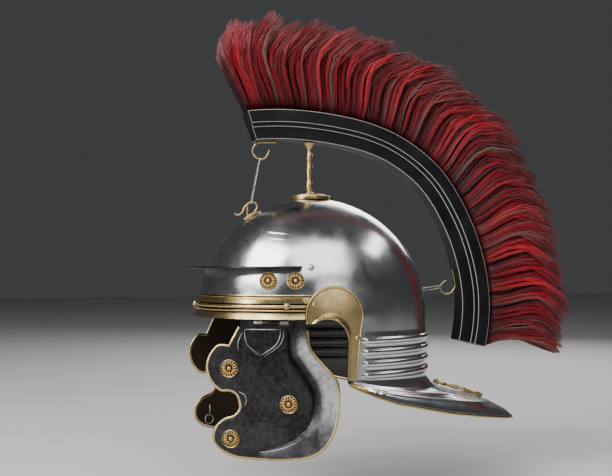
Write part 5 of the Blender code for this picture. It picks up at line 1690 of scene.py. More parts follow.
@dataclass
class CheekGuard:
    """A cheek guard: its plate with embossed ridges, brass bead, rosettes, staple and ring."""

    shape: CheekForm
    side: Side = Side.LEFT
    step: float = 1.6 * MM
    trim: float = 2.2 * MM
    trim_lip: float = 0.35 * MM
    knuckle: tuple[float, float] = (-12 * MM, 4 * MM)
    knuckle_radius: float = 2.2 * MM
    leaf_knuckle: float = 7.6 * MM
    pin_radius: float = 1 * MM
    wire: float = 0.55 * MM
    ring_radius: float = 5 * MM
    staple: float = 11.7 * MM
    staple_at: tuple[float, float] = (-0.342, 0.793)
    rosette: Rosette = field(default_factory=Rosette)
    rosettes: tuple[tuple[str, float, float], ...] = (
        ("upper", -0.357, 0.344), ("middle", 0.104, 0.605), ("lower", -0.343, 0.866),
    )
    edge: Rows = (
        (0.232, 0.060), (0.250, 0.175), (0.293, 0.247), (0.366, 0.325), (0.437, 0.394), (0.470, 0.450),
        (0.478, 0.563), (0.468, 0.693), (0.421, 0.842), (0.325, 0.944), (0.210, 0.982), (0.084, 0.996),
        (-0.078, 1), (-0.240, 0.994), (-0.330, 0.978), (-0.408, 0.944), (-0.462, 0.888), (-0.469, 0.835),
        (-0.445, 0.780), (-0.390, 0.735), (-0.318, 0.710), (-0.272, 0.663), (-0.262, 0.610), (-0.288, 0.532),
        (-0.352, 0.497), (-0.418, 0.495), (-0.468, 0.456), (-0.505, 0.400), (-0.521, 0.322), (-0.496, 0.245),
        (-0.440, 0.187), (-0.356, 0.188),
    )
    panel: Rows = (
        (-28.5, 6.6), (4.6, 6.4), (4.2, 13), (-0.6, 21.5),
        (-13.7, 30.6), (-24.6, 22), (-28.2, 13), (-28.5, 6.6),
    )
    crescents: tuple[Rows, Rows] = (
        ((-30.5, 9.5), (-33.2, 14.5), (-34.8, 20.0), (-34.4, 26.0)),
        ((-34.5, 63.5), (-29.0, 66.0), (-26.6, 70.5), (-28.4, 76.5)),
    )
    crease: Rows = ((-16, 119), (0, 116.5), (16, 111), (27, 103.5))

    def curve(self, steps: int) -> Array:
        """Returns the free edge in the guard's plane, with a number of steps between rows."""
        return smooth_path(np.array(self.edge) * [self.shape.width, self.shape.height], steps)

    def corners(self) -> Array:
        """Lays out the top edge, with the hinge's notches.

        Returns:
            Its corners in the guard's plane.
        """
        top = -(self.shape.hinge_drop - 4 * CLEARANCE)
        low, high = self.knuckle
        notch = self.leaf_knuckle + 3 * CLEARANCE
        deep = self.knuckle_radius + 2 * CLEARANCE
        step = 2 * CLEARANCE
        wide, tall = self.shape.width, self.shape.height
        return np.array(
            [
                (-0.270 * wide, 0.03 * tall), (-0.276 * wide, top), (low - notch, top), (low - notch, deep),
                (low + step, deep), (low + step, top / 2), (high - step, top / 2), (high - step, deep),
                (high + notch, deep), (high + notch, top), (0.238 * wide, top),
            ]
        )

    def plate(self) -> Form:
        """Returns the plate's two faces and edge.

        Returns:
            The form.
        """
        outline = np.vstack([self.curve(5), self.corners()])
        bm = bmesh.new()
        bm.faces.new([bm.verts.new((x, y, 0)) for x, y in outline])
        wide, tall = self.shape.width, self.shape.height
        for axis, low, high in ((0, -0.53 * wide, 0.49 * wide), (1, 0, tall)):
            for at in np.arange(low, high, self.step):
                middle, normal = [0, 0, 0], [0, 0, 0]
                middle[axis], normal[axis] = at, 1
                geometry = bm.verts[:] + bm.edges[:] + bm.faces[:]
                bmesh.ops.bisect_plane(bm, geom=geometry, dist=1e-6, plane_co=middle, plane_no=normal)
        bmesh.ops.triangulate(bm, faces=[face for face in bm.faces if len(face.verts) > 4])
        bm.verts.index_update()
        flat = np.array([vert.co[:2] for vert in bm.verts])
        faces = [tuple(vert.index for vert in face.verts) for face in bm.faces]
        rim = [tuple(vert.index for vert in edge.verts) for edge in bm.edges if edge.is_boundary]
        bm.free()
        count = len(flat)
        half = self.shape.steel / 2
        outer = self.shape.point(flat[:, 0], flat[:, 1], half, self.side)
        inner = self.shape.point(flat[:, 0], flat[:, 1], -half, self.side)
        faces += [tuple(corner + count for corner in reversed(face)) for face in faces]
        faces += [(first, second, second + count, first + count) for first, second in rim]
        form = Form()
        form.second = list(range(len(faces) // 2 - len(rim) // 2, len(faces) - len(rim)))
        share = self.shape.beyond_fold(flat[:, 0], flat[:, 1]) / self.shape.flare_width
        down = flat[:, 1] / self.shape.height
        # Painted highlight, partly wear: the flared border is made brighter, most in its middle band.
        rub_and_painted_highlight = 0.62 * ease((share - 0.22) / 0.35) * ease((0.82 - down) / 0.3) * ease((down - 0.02) / 0.2)
        # Painted shade: the valley along the fold is darkened.
        groove = share * self.shape.flare_width / self.shape.valley_width
        groove = 0.9 * groove * np.exp(1 - groove) * ease(down / 0.1) * ease((0.80 - down) / 0.2)
        return form.add(np.vstack([outer, inner]), faces, np.concatenate([rub_and_painted_highlight - groove * (1 - rub_and_painted_highlight), rub_and_painted_highlight * 0]))

    def barrel(self, form: Form) -> None:
        """Adds the knuckle that turns on the hinge pin.

        Args:
            form: what it is added to.
        """
        point, rearward, outward = self.shape.hinge()
        bore = self.pin_radius + CLEARANCE * 1.4
        low, high = self.knuckle
        bevel = 0.3 * MM
        full, eased = self.knuckle_radius, self.knuckle_radius - bevel
        section = [(low + bevel, full), (high - bevel, full), (high, eased)]
        section += [(high, bore), (low, bore), (low, eased)]
        ring = circle(28, outward, -UP)
        rows = [mirrored(point + rearward * at + ring * radius, self.side) for at, radius in section]
        form.grid(np.array(rows), wrap_rows=True, wrap_columns=True)

    def ridge(self, form: Form, path: Array, half_width: float, rise: float, rub_and_painted_highlight: float) -> None:
        """Adds an embossed ridge on the outer side.

        Args:
            form: what it is added to.
            path: (u, v) rows.
            half_width: half the ridge's width.
            rise: how high it is.
            rub_and_painted_highlight: how bright its crown is made, from 0 to 1, as wear and a painted
                highlight.
        """
        along = unit(np.gradient(path, axis=0))
        beside = np.stack([along[:, 1], -along[:, 0]], 1)
        share = np.linspace(0, 1, len(path))
        fade = np.sin(math.pi * np.clip(share, 0.01, 0.99)) ** 0.45
        rows = []
        for across in (-1, -0.8, -0.5, -0.22, 0, 0.22, 0.5, 0.8, 1):
            spot = path + beside * (half_width * across * (0.5 + 0.5 * fade))[:, None]
            lift = rise * fade * (1 - across * across) ** 0.8 - 0.2 * MM * abs(across) ** 4
            rows.append(self.shape.point(spot[:, 0], spot[:, 1], self.shape.steel / 2 + lift, self.side))
        # The crown is lightened: wear and a painted highlight.
        crown = np.array([0, 0, 0.2, 0.7, 1, 0.7, 0.2, 0, 0])[:, None] * rub_and_painted_highlight * fade
        form.grid(np.array(rows), patina_and_painted_light=crown)

    def embossing(self, form: Form) -> None:
        """Adds the shield-shaped panel, the crescents by the notches and the faint crease.

        Args:
            form: what they are added to.
        """
        panel = np.array(self.panel) * MM
        left = smooth_path(panel[[7, 6, 5, 4]], 8)
        right = smooth_path(panel[[1, 2, 3, 4]], 8)
        top = np.linspace(panel[0], panel[1], 14)
        for path in (left, right, top):
            self.ridge(form, path, 1.1 * MM, 0.95 * MM, 0.75)
        self.ridge(form, right + np.array([3.0, 0.9]) * MM, 0.8 * MM, 0.55 * MM, 0.45)
        for crescent in self.crescents:
            self.ridge(form, smooth_path(np.array(crescent) * MM, 7), 1.2 * MM, 1.1 * MM, 0.7)
        self.ridge(form, smooth_path(np.array(self.crease) * MM, 8), 0.9 * MM, 0.3 * MM, 0.25)

    def bead(self) -> Form:
        """Returns the rounded brass bead along the free edge.

        Returns:
            The form.
        """
        curve = self.curve(6)
        corner = self.corners()[0]
        curve = np.vstack([curve, curve[-1] + (corner - curve[-1]) * np.array([[0.35], [0.7], [0.94]])])
        along = unit(np.gradient(curve, axis=0))
        out = np.stack([along[:, 1], -along[:, 0]], 1)
        half = self.shape.steel / 2 + self.trim_lip
        rows = []
        for turn in np.linspace(96, -96, 13):
            reach = CLEARANCE * 1.3 + self.trim * max(0.0, math.cos(math.radians(turn))) ** 0.85
            spot = curve + out * reach
            lift = half * math.sin(math.radians(turn))
            rows.append(self.shape.point(spot[:, 0], spot[:, 1], lift, self.side))
        return Form().bar(rows)

    def build(self, shop: Workshop) -> None:
        """Builds a cheek guard and what is fixed on it.

        Args:
            shop: what makes the pieces.
        """
        body = Body.cheek(self.side)
        form = self.plate()
        self.barrel(form)
        self.embossing(form)
        node = f"cheek_guard_{self.side.label}"
        finishes = (shop.dark_steel, shop.brown_steel)
        shop.piece(form.mesh(f"{node}_fine", 45), finishes, Slot.DARK_STEEL, body, node)
        shop.form_piece(f"cheek_trim_{self.side.label}", self.bead(), shop.brass, Slot.BRASS, body, sharp=60)
        _, _, outward = self.shape.hinge()
        wide, tall = self.shape.width, self.shape.height
        for name, a, b in self.rosettes:
            place = self.shape.point(a * wide, b * tall, self.shape.steel / 2 + CLEARANCE, self.side)
            form = self.rosette.form(place, mirrored(outward, self.side))
            node = f"cheek_rosette_{name}_{self.side.label}"
            shop.form_piece(node, form, shop.cast_brass, Slot.BRASS, body)
        self.build_tie(shop, body)

    def build_tie(self, shop: Workshop, body: Body) -> None:
        """Builds the staple and ring for the chin tie on the inner side.

        Args:
            shop: what makes the pieces.
            body: what they ride on.
        """
        u, v = self.staple_at[0] * self.shape.width, self.staple_at[1] * self.shape.height
        ring_lift = -self.shape.steel / 2 - CLEARANCE - self.wire * 1.2
        bar_lift = ring_lift - 2 * self.wire - 1.3 * CLEARANCE
        foot = -self.shape.steel / 2 - 1.3 * CLEARANCE
        last = v + self.staple
        route = np.array(
            [
                (v, foot), (v, ring_lift - self.wire), (v + 1 * MM, bar_lift), (last - 1 * MM, bar_lift),
                (last, ring_lift - self.wire), (last, foot),
            ]
        )
        form = Form().tube(self.shape.point(u, route[:, 0], route[:, 1], self.side), self.wire, 10)
        shop.form_piece(f"tie_staple_{self.side.label}", form, shop.iron, Slot.IRON, body, sharp=70)
        hang = last - 2 * self.wire - 1.3 * CLEARANCE + self.ring_radius
        turn = np.arange(40) * math.tau / 40
        across, down = u + self.ring_radius * np.sin(turn), hang - self.ring_radius * np.cos(turn)
        ring = self.shape.point(across, down, ring_lift, self.side)
        form = Form().tube(ring, self.wire, 10, closed=True)
        shop.form_piece(f"tie_ring_{self.side.label}", form, shop.iron, Slot.IRON, body, sharp=70)


# Crest


@dataclass(frozen=True)
class CrestForm:
    """The arc that the crest box and the plume follow, in the middle plane."""

    radius: float = 199.5 * MM
    centre: Triple = (0, -2.9 * MM, -106.4 * MM)
    front_angle: float = 108.5
    rear_angle: float = -14.0
    rows: Rows = (
        (-14, 1.006), (0, 1.003), (15, 0.997), (30, 1.0), (45, 1.012), (60, 1.005),
        (70, 0.993), (80, 0.983), (90, 0.986), (100, 1.003), (108.5, 1.026),
    )

    def point(self, angle: Array, inset: Array = 0.0, x: Array = 0.0) -> Array:
        """Returns points of the crest.

        Args:
            angle: degrees above the horizontal, from the rear.
            inset: how far under the top.
            x: how far to the wearer's left.

        Returns:
            The points.
        """
        angle, inset, x = arrays(angle, inset, x)
        radius = self.radius * read_smooth(self.rows, angle) - inset
        turn = np.radians(angle)
        y = self.centre[1] + radius * np.cos(turn)
        return np.stack([x, y, self.centre[2] + radius * np.sin(turn)], axis=-1)


@dataclass
class CrestBox:
    """The stepped black box under the plume, with crisp edges lightened as wear and painted highlight."""

    arc: CrestForm
    half: float = 14.6 * MM
    keel: float = 10.9 * MM
    depth: float = 30 * MM
    ledge: float = 13 * MM
    lip: float = 4.5 * MM
    bevel: float = 0.32 * MM

    def outline(self) -> tuple[Array, Array]:
        """Draws the box's section.

        Returns:
            Its bevelled corners as X and inset, and how much each is lightened, as wear and painted
            highlight.
        """
        lip = (self.half + self.keel) / 2
        step = self.ledge + self.lip
        right = [(self.half, 0.0), (self.half, self.ledge), (lip, self.ledge)]
        right += [(lip, step), (self.keel, step), (self.keel, self.depth)]
        corners = np.array(right + [(-x, inset) for x, inset in reversed(right)])
        rows, worn = [], []
        count = len(corners)
        for index, corner in enumerate(corners):
            before, after = corners[index - 1], corners[(index + 1) % count]
            back, ahead = unit(before - corner), unit(after - corner)
            outer = back[1] * ahead[0] - back[0] * ahead[1] > 0
            # Outer corners are lightened: worn lacquer and a painted highlight.
            rub_and_painted_highlight = 0.8 if outer else 0.0
            for way, far in ((back, 2.2), (back, 1), (ahead, 1), (ahead, 2.2)):
                rows.append(corner + way * self.bevel * far)
            worn += [0.0, rub_and_painted_highlight, rub_and_painted_highlight, 0.0]
        return np.array(rows), np.array(worn)

    def build(self, shop: Workshop) -> None:
        """Builds the box.

        Args:
            shop: what makes the pieces.
        """
        outline, worn = self.outline()
        angle = np.linspace(self.arc.front_angle, self.arc.rear_angle, 111)
        nudge = math.degrees(self.bevel / self.arc.radius)
        steps = nudge * np.array([0, 1, 3])
        angle = np.concatenate([angle[0] - steps, angle[1:-1], angle[-1] + steps[::-1]])
        middle = np.array([0, self.depth / 2])
        rings, dirt_wear_and_painted_light = [], []
        for index, at in enumerate(angle):
            ends = index in (0, len(angle) - 1)
            shape = outline - np.sign(outline - middle) * self.bevel if ends else outline
            rings.append(self.arc.point(at, shape[:, 1], shape[:, 0]))
            near = index in (1, len(angle) - 2)
            # The rings beside the ends carry the end edges' lightening, wear and painted highlight.
            dirt_wear_and_painted_light.append(worn * 0 if ends else np.maximum(worn, 0.5) if near else worn)
        form = Form().solid(np.array(rings), np.array(dirt_wear_and_painted_light))
        shop.form_piece("crest_box", form, shop.lacquer, Slot.LACQUER, sharp=30)


@dataclass
class CrestMount:
    """The stepped plate on the crown and the moulded post that carries the crest."""

    surface: BowlForm
    arc: CrestForm
    plate_radius: float = 21.8 * MM
    upper_radius: float = 17.6 * MM
    plate_height: float = 3.4 * MM
    lower_rows: Rows = ((1, 0.35), (0.985, 0.45), (1, 0.55), (1, 0.95), (0.985, 1.1), (0.95, 1.15))
    step_rows: Rows = ((1.04, 1.15), (1, 1.22))
    upper_rows: Rows = ((1, 0.70), (0.98, 0.86), (0.95, 0.97), (0.90, 1), (0.5, 1), (0, 1))
    post_radius: float = 4 * MM
    crest_depth: float = 30 * MM
    post_rows: Rows = (
        (0, 1.15), (0.03, 1.15), (0.06, 0.70), (0.12, 0.95), (0.20, 1.0), (0.30, 0.78), (0.48, 0.95),
        (0.62, 0.72), (0.72, 0.90), (0.86, 0.62), (0.94, 1.0), (1.0, 1.45),
    )

    def build(self, shop: Workshop) -> None:
        """Builds the plate and the post.

        Args:
            shop: what makes the pieces.
        """
        radius, upper, height = self.plate_radius, self.upper_radius, self.plate_height
        drop = self.surface.height * (1 - math.sqrt(1 - (radius / self.surface.rear) ** 2))
        middle = self.surface.height * (1 - math.sqrt(1 - (radius * 0.55 / self.surface.rear) ** 2))
        base = self.surface.crown + CLEARANCE
        low = base - drop
        profile = [(0, base), (radius * 0.55, base - middle * 0.9)]
        profile += [(radius * 0.985, low), (radius, low + 0.2 * MM)]
        profile += [(radius * across, low + height * up) for across, up in self.lower_rows]
        profile += [(upper * across, low + height * up) for across, up in self.step_rows]
        profile += [(upper * across, base + height * up) for across, up in self.upper_rows]
        form = Form().turned(profile, 72, (0, 0, 0), (0, 0, 1))
        shop.form_piece("crest_base_plate", form, shop.cast_brass, Slot.BRASS, sharp=35)
        foot = self.surface.crown + CLEARANCE + self.plate_height + CLEARANCE
        top = float(min(self.arc.point(np.array([91, 90, 89, 88]), self.crest_depth)[:, 2])) - CLEARANCE * 2
        rows = smooth_path(np.array(self.post_rows), 6)
        profile = [(self.post_radius * share, foot + (top - foot) * min(1, max(0, up))) for up, share in rows]
        form = Form().turned([(0, foot), *profile, (0, top)], 40, (0, 0, 0), (0, 0, 1))
        shop.form_piece("crest_post", form, shop.cast_brass, Slot.BRASS, sharp=50)


@dataclass
class CrestTies:
    """The hooks on the crest and the bowl, and the wire links between them."""

    surface: BowlForm
    arc: CrestForm
    wire: float = 0.9 * MM
    link_wire: float = 0.6 * MM
    crest_depth: float = 30 * MM
    front_drop: float = 17 * MM
    front_eye: float = 11.4 * MM
    front_eye_depth: float = 16.2 * MM
    front_plate: float = 8.5 * MM
    rear_reach: float = 17.2 * MM
    rear_eye: float = 10 * MM
    rear_rise: float = 25 * MM
    rear_plate: float = 12 * MM
    plate_half: float = 3.6 * MM
    plate_thickness: float = 1.2 * MM
    front_hook_rows: Rows = (
        (-0.247, -0.235), (-0.329, -0.529), (-0.200, -0.824), (0.129, -1.000),
        (0.424, -0.906), (0.612, -0.647), (0.694, -0.412),
    )
    front_eye_rows: Rows = (
        (0.018, 0.149), (0.263, 0.509), (0.105, 0.895), (-0.281, 1.000), (-0.632, 0.772),
        (-0.912, 0.456), (-1.070, 0.088), (-1.316, -0.123), (-1.614, -0.140), (-1.807, -0.018),
    )
    rear_hook_rows: Rows = (
        (-0.140, -0.326), (-0.372, -0.523), (-0.674, -0.547), (-0.907, -0.372),
        (-1.000, -0.093), (-0.849, 0.140), (-0.616, 0.302),
    )
    rear_eye_rows: Rows = (
        (0.07, 0.26), (0.50, 0.36), (0.94, 0.10), (1.00, -0.34), (0.66, -0.62), (0.68, -1.20), (1.00, -1.70),
    )
    plate_rows: Rows = ((-1, 0), (-1, 0.7), (-0.85, 1), (0.85, 1), (1, 0.7), (1, 0))
    link_rows: tuple[tuple[int, float, float], ...] = (
        (0, 0, 0), (0, 0.8, 0.35), (0, 1, 1.3), (1, 1, -1.3), (1, 0.8, -0.35),
        (1, 0, 0), (1, -0.8, -0.35), (1, -1, -1.3), (0, -1, 1.3), (0, -0.8, 0.35),
    )

    def wire_path(self, start: Array, size: float, rows: Rows) -> Array:
        """Returns the points of (behind, above) rows, which are shares of a size, counted from a start."""
        table = np.array(rows) * size
        return np.stack([np.zeros(len(table)), start[1] + table[:, 0], start[2] + table[:, 1]], axis=1)

    def bent_wire(self, points: Array) -> Form:
        """Returns a thick wire that runs smoothly through points."""
        return Form().tube(smooth_path(points, 6), self.wire, 12)

    def hook_plate(self, form: Form, azimuth: float, top: float, drop: float) -> None:
        """Adds the small plate that a bowl hook is riveted on.

        Args:
            form: what it is added to.
            azimuth: where it lies.
            top: the depth of its upper end.
            drop: how long it is.
        """
        rings = []
        for share in np.linspace(0, 1, 13):
            surface = self.surface.point(azimuth, top + drop * share)
            out = self.surface.normal(surface)
            width = self.plate_half * math.sqrt(max(0.05, 1 - (2 * share - 1) ** 6))
            row = []
            for across, lift in self.plate_rows:
                rise = out * (CLEARANCE + self.plate_thickness * lift)
                row.append(surface + np.array([width * across, 0, 0]) + rise)
            rings.append(row)
        form.solid(np.array(rings))

    def link(
        self, shop: Workshop, name: str, ends: tuple[Array, Array], spread: Triple, half: tuple[float, float]
    ) -> None:
        """Builds a long wire link between two eyes.

        Args:
            shop: what makes the pieces.
            name: the solid's name.
            ends: the link's two ends.
            spread: the direction across it.
            half: its half widths at the two ends.
        """
        along = ends[1] - ends[0]
        across = np.array(spread)
        across = unit(across - along * (across @ along) / (along @ along))
        inner = unit(along)
        loop = []
        for end, aside, ahead in self.link_rows:
            loop.append(ends[end] + (across * aside + inner * ahead) * half[end])
        form = Form().tube(np.array(loop), self.link_wire, 8, closed=True)
        shop.form_piece(name, form, shop.iron, Slot.IRON, sharp=70)

    def build(self, shop: Workshop) -> None:
        """Builds both ties.

        Args:
            shop: what makes the pieces.
        """
        seat = self.crest_depth + CLEARANCE * 4 + self.wire
        strip = self.arc.point(np.array([101, 104.5, 107.4]), seat)
        hook = self.wire_path(strip[-1], self.front_drop, self.front_hook_rows)
        form = self.bent_wire(np.vstack([strip, hook]))
        shop.form_piece("crest_hook_front", form, shop.cast_brass, Slot.BRASS, sharp=70)
        eye = self.wire_path(self.surface.point(0, self.front_eye_depth), self.front_eye, self.front_eye_rows)
        form = self.bent_wire(eye)
        self.hook_plate(form, 0, self.front_eye_depth - self.plate_thickness, self.front_plate)
        leg_depth = self.front_eye_depth + self.front_plate / 2
        leg = self.surface.point(0, leg_depth, CLEARANCE + self.plate_thickness / 2)
        form.tube(np.array([leg, eye[4]]), self.wire * 0.8, 10)
        shop.form_piece("bowl_hook_front", form, shop.cast_brass, Slot.BRASS, sharp=60)
        slack = np.array([0, 0, self.wire + self.link_wire + CLEARANCE * 2])
        self.link(shop, "crest_link_front", (hook[3] + slack, eye[3] - slack), (1, 0, 0), (2.2 * MM, 3 * MM))
        depth = self.surface.height - self.rear_rise
        eye = self.wire_path(self.surface.point(math.pi, depth), self.rear_eye, self.rear_eye_rows)
        form = self.bent_wire(eye)
        self.hook_plate(form, math.pi, depth - self.rear_plate / 2, self.rear_plate)
        shop.form_piece("bowl_hook_rear", form, shop.cast_brass, Slot.BRASS, sharp=60)
        strip = self.arc.point(np.array([12.0, 9.0, 6.0]), seat)
        hook = self.wire_path(strip[-1], self.rear_reach, self.rear_hook_rows)
        form = self.bent_wire(np.vstack([strip, hook]))
        shop.form_piece("crest_hook_rear", form, shop.cast_brass, Slot.BRASS, sharp=70)
        slack = np.array([0, self.wire + self.link_wire + CLEARANCE * 2, 0])
        ends = ((eye[2] + eye[3]) / 2 - slack, hook[4] + slack)
        self.link(shop, "crest_link_rear", ends, (1, 0, 0.75), (2.6 * MM, 2.6 * MM))


@dataclass
class Plume:
    """The hair plume: seven runs of flat locks, each of many strands over a dark core."""

    arc: CrestForm
    sections: int = 7
    locks: int = 4
    height: float = 93 * MM
    half_width: float = 27 * MM
    jag: float = 6 * MM
    lean: float = 9 * MM
    curl: float = 15 * MM
    sag: float = 9 * MM
    sag_start: float = 40.0
    lift: float = 25 * MM
    lift_start: float = 8.0
    plies: tuple[tuple[int, float], ...] = ((172, 1.0), (82, 0.84), (46, 0.60), (34, 0.30))
    ribbons: int = 6
    joints: int = 7
    strand_width: float = 0.49 * MM
    strand_depth: float = 0.22 * MM
    tip_curl: float = 15 * MM
    bow: float = 5 * MM
    front_reach: float = 9 * MM
    core_inset: float = 1.6
    lock_tone: tuple[float, float] = (0.62, 0.09)
    ribbon_tone: float = 0.12
    grey_ribbons: float = 0.14
    grey_strands: tuple[float, float] = (0.55, 0.05)
    short_strands: float = 0.5
    side_shade: float = 0.19
    deep_shade: float = 0.10
    seed: int = 4100
    widths: Rows = ((0, 0.40), (0.3, 0.60), (0.6, 0.86), (0.8, 1.0), (0.94, 0.78), (1.0, 0.28))

    @property
    def core_heights(self) -> Array:
        """Returns the shares of the hair's length at the core's rows."""
        return np.linspace(0, 0.84, 10)

    @property
    def pitch(self) -> float:
        """Returns the degrees of crest that one lock takes."""
        return (self.arc.front_angle - self.arc.rear_angle) / (self.sections * self.locks)

    def point(self, angle: Array, height: Array, across: Array, extra: Array = 0.0) -> Array:
        """Returns points in the plume; the hair leans forward and curls back at its tips.

        Args:
            angle: where the hair is rooted along the crest, in degrees.
            height: the share of its length from the root.
            across: the share of its half width.
            extra: how far it is moved ahead.

        Returns:
            The points.
        """
        angle, height, across, extra = arrays(angle, height, across, extra)
        wave = np.cos(math.tau * (self.arc.front_angle - angle) / self.pitch + math.pi)
        rough = np.sin(angle * 0.31 + 1.1) * 0.6 + np.sin(angle * 0.83) * 0.4
        length = self.height + self.jag * (rough + 0.5 * wave)
        rear = np.clip((self.sag_start - angle) / (self.sag_start - self.arc.rear_angle), 0, 1)
        lean = self.lean * np.sin(math.pi * np.clip(height, 0, 1) ** 1.45)
        sag = self.sag * rear * np.sin(math.pi * height * 0.9)
        last = np.clip((self.lift_start - angle) / (self.lift_start - self.arc.rear_angle), 0, 1)
        lift = self.lift * last**1.5 * (1 - (1 - np.minimum(1, height)) ** 4)
        forward = lean - self.curl * np.maximum(0, height) ** 2.6 * (1 - 0.4 * rear) - sag + lift + extra
        root = self.arc.point(angle)
        out = unit(root - np.array(self.arc.centre))
        ahead = np.stack([np.zeros_like(angle), -out[..., 2], out[..., 1]], axis=-1)
        share = np.interp(height, [row[0] for row in self.widths], [row[1] for row in self.widths])
        x = self.half_width * share * across
        points = root + out * (CLEARANCE + length * height)[..., None] + ahead * forward[..., None]
        points[..., 0] += x
        return points

    def core(self, section: int) -> Form:
        """Returns the dark inner body of a run of locks.

        Args:
            section: which run, from the front.

        Returns:
            The form.
        """
        sweep = self.pitch * self.locks
        start = self.arc.front_angle - sweep * section - (self.core_inset if section == 0 else 0.1)
        stop = self.arc.front_angle - sweep * (section + 1)
        stop += self.core_inset if section == self.sections - 1 else 0.1
        angle = np.linspace(start, stop, self.locks * 6 + 1)
        height = self.core_heights
        ring_height = np.concatenate([height, height[::-1]])
        ring_side = np.repeat([0.62, -0.62], len(height))
        wave = 1 + 0.10 * np.cos(math.tau * (self.arc.front_angle - angle) / self.pitch + math.pi)
        rows = self.point(angle[:, None], ring_height[None, :], ring_side[None, :] * wave[:, None])
        return Form().solid(rows)

    def strand_paths(self, section: int, rng: np.random.Generator) -> tuple[Array, Array, Array]:
        """Lays out the strands of a run of locks.

        Args:
            section: which run, from the front.
            rng: the source of chance, seeded for the run.

        Returns:
            Paths as strands by joints by 3, a dye value with painted shade for each strand, and a width for
            each strand.
        """
        share = np.linspace(0, 1, self.joints)
        low, high = self.arc.rear_angle + 0.25, self.arc.front_angle - 0.25
        gather = 0.40 * ease(share * 1.3)
        bend = np.sin(math.pi * share**1.45)
        back = np.maximum(0, (share - 0.60) / 0.40) ** 1.4
        paths, strand_dye_and_shade, widths = [], [], []
        for lock in range(self.locks):
            centre = high - self.pitch * (section * self.locks + lock + 0.5)
            inward = float(ease(np.array(min(high - centre, centre - low) / (2.2 * self.pitch))))
            reach = rng.uniform(0.95, 1.03)
            sway = rng.uniform(-0.5, 0.5)
            ahead = self.front_reach * float(ease(np.array(1 - (high - centre) / (2.5 * self.pitch))))
            for face in (1, -1):
                lock_tone = rng.normal(*self.lock_tone)
                ribbon_tone = rng.normal(lock_tone, self.ribbon_tone, self.ribbons)
                ribbon_grey = rng.random(self.ribbons) < self.grey_ribbons
                ribbon_reach = rng.uniform(0.92, 1.0, self.ribbons)
                ribbon_wave = rng.normal(0, 1.5 * MM, self.ribbons)
                ribbon_lift = rng.uniform(-0.07, 0.07, self.ribbons)
                for count, depth in self.plies:
                    place = rng.uniform(-1, 1, count)
                    ribbon = np.minimum(self.ribbons - 1, ((place + 1) / 2 * self.ribbons).astype(int))
                    middle = (ribbon + 0.5) / self.ribbons * 2 - 1
                    spot = place[:, None] + (middle - place)[:, None] * gather
                    angle = centre + spot * self.pitch * (0.60 + 0.16 * share) + sway * share**1.4
                    angle = angle + rng.normal(0, 0.22, (count, 1)) * share**2.5
                    angle = np.clip(angle, low, high)
                    long = reach * ribbon_reach[ribbon] * (1 - 0.075 * place) + rng.normal(0, 0.012, count)
                    short = rng.random(count) < self.short_strands
                    long = long * np.where(short, rng.uniform(0.78, 1.0, count), 1.0)
                    tall = share[None, :] * np.clip(long, 0.5, 1.05)[:, None]
                    edge = 0.90 - 0.10 * inward * spot + ribbon_lift[ribbon][:, None] * ease(share * 1.6)
                    outer = rng.uniform(0.90 if depth == 1.0 else 0.4, 1.0, count)
                    across = face * depth * edge * outer[:, None]
                    wave = inward * (self.bow * bend - self.tip_curl * back)[None, :]
                    wave = wave - (1 - inward) * self.bow * bend[None, :]
                    swing = np.sin(math.pi * share * 1.6)[None, :] * (0.3 + 0.7 * inward)
                    wave = wave + ribbon_wave[ribbon][:, None] * swing
                    wave = wave + rng.normal(0, 0.7 * MM, (count, 1)) * share**2 + ahead * share[None, :] ** 2
                    paths.append(self.point(angle, tall, across, wave))
                    # Painted shade: strands on a lock's tucked side and in the inner plies are made darker.
                    shade = self.side_shade * (1 + place) + self.deep_shade * (1 - depth)
                    dye_and_shade = np.clip(rng.normal(ribbon_tone[ribbon] - shade, 0.07), 0.02, 0.84)
                    grey = rng.random(count) < np.where(ribbon_grey[ribbon], *self.grey_strands)
                    strand_dye_and_shade.append(np.where(grey, rng.uniform(0.88, 1.0, count), dye_and_shade))
                    widths.append(rng.uniform(0.75, 1.2, count))
        return np.concatenate(paths), np.concatenate(strand_dye_and_shade), np.concatenate(widths)

    def strand_mesh(self, name: str, section: int) -> bpy.types.Mesh:
        """Makes the mesh of a run of locks.

        Args:
            name: the mesh's name.
            section: which run, from the front.

        Returns:
            The mesh, whose core takes the second material.
        """
        rng = np.random.default_rng(self.seed + section)
        paths, strand_dye_and_shade, widths = self.strand_paths(section, rng)
        count, joints = paths.shape[:2]
        tangent = unit(np.gradient(paths, axis=1))
        flat = unit(np.cross(tangent, [1.0, 0, 0]))
        face = np.cross(flat, tangent)
        share = np.linspace(0, 1, joints)
        taper = np.minimum(1, (1 - share) * 3.2 + 0.10) * (0.75 + 0.25 * np.minimum(1, share * 4))
        wide = self.strand_width * widths[:, None] * taper[None, :]
        deep = self.strand_depth * widths[:, None] * taper[None, :]
        spread = flat * wide[..., None]
        outer = face * deep[..., None] * np.sign(paths[..., 0:1] + 1e-9)
        points = np.stack([paths + spread, paths - spread, paths + outer], axis=2).reshape(-1, 3)
        base = (np.arange(count)[:, None, None] * joints + np.arange(joints - 1)[None, :, None]) * 3
        corner = np.arange(3)[None, None, :]
        after = (corner + 1) % 3
        quads = np.stack([base + corner, base + after, base + 3 + after, base + 3 + corner], axis=-1)
        quads = quads.reshape(-1, 4)
        first = np.arange(count) * joints * 3
        last = first + (joints - 1) * 3
        ends = np.concatenate([first[:, None] + [2, 1, 0], last[:, None] + [0, 1, 2]])
        core = self.core(section)
        core_points = np.vstack(core.points)
        core_faces = [tuple(index + len(points) for index in one) for one in core.faces]
        mesh = bpy.data.meshes.new(name)
        faces = quads.tolist() + ends.tolist() + core_faces
        mesh.from_pydata(np.vstack([points, core_points]).tolist(), [], faces)
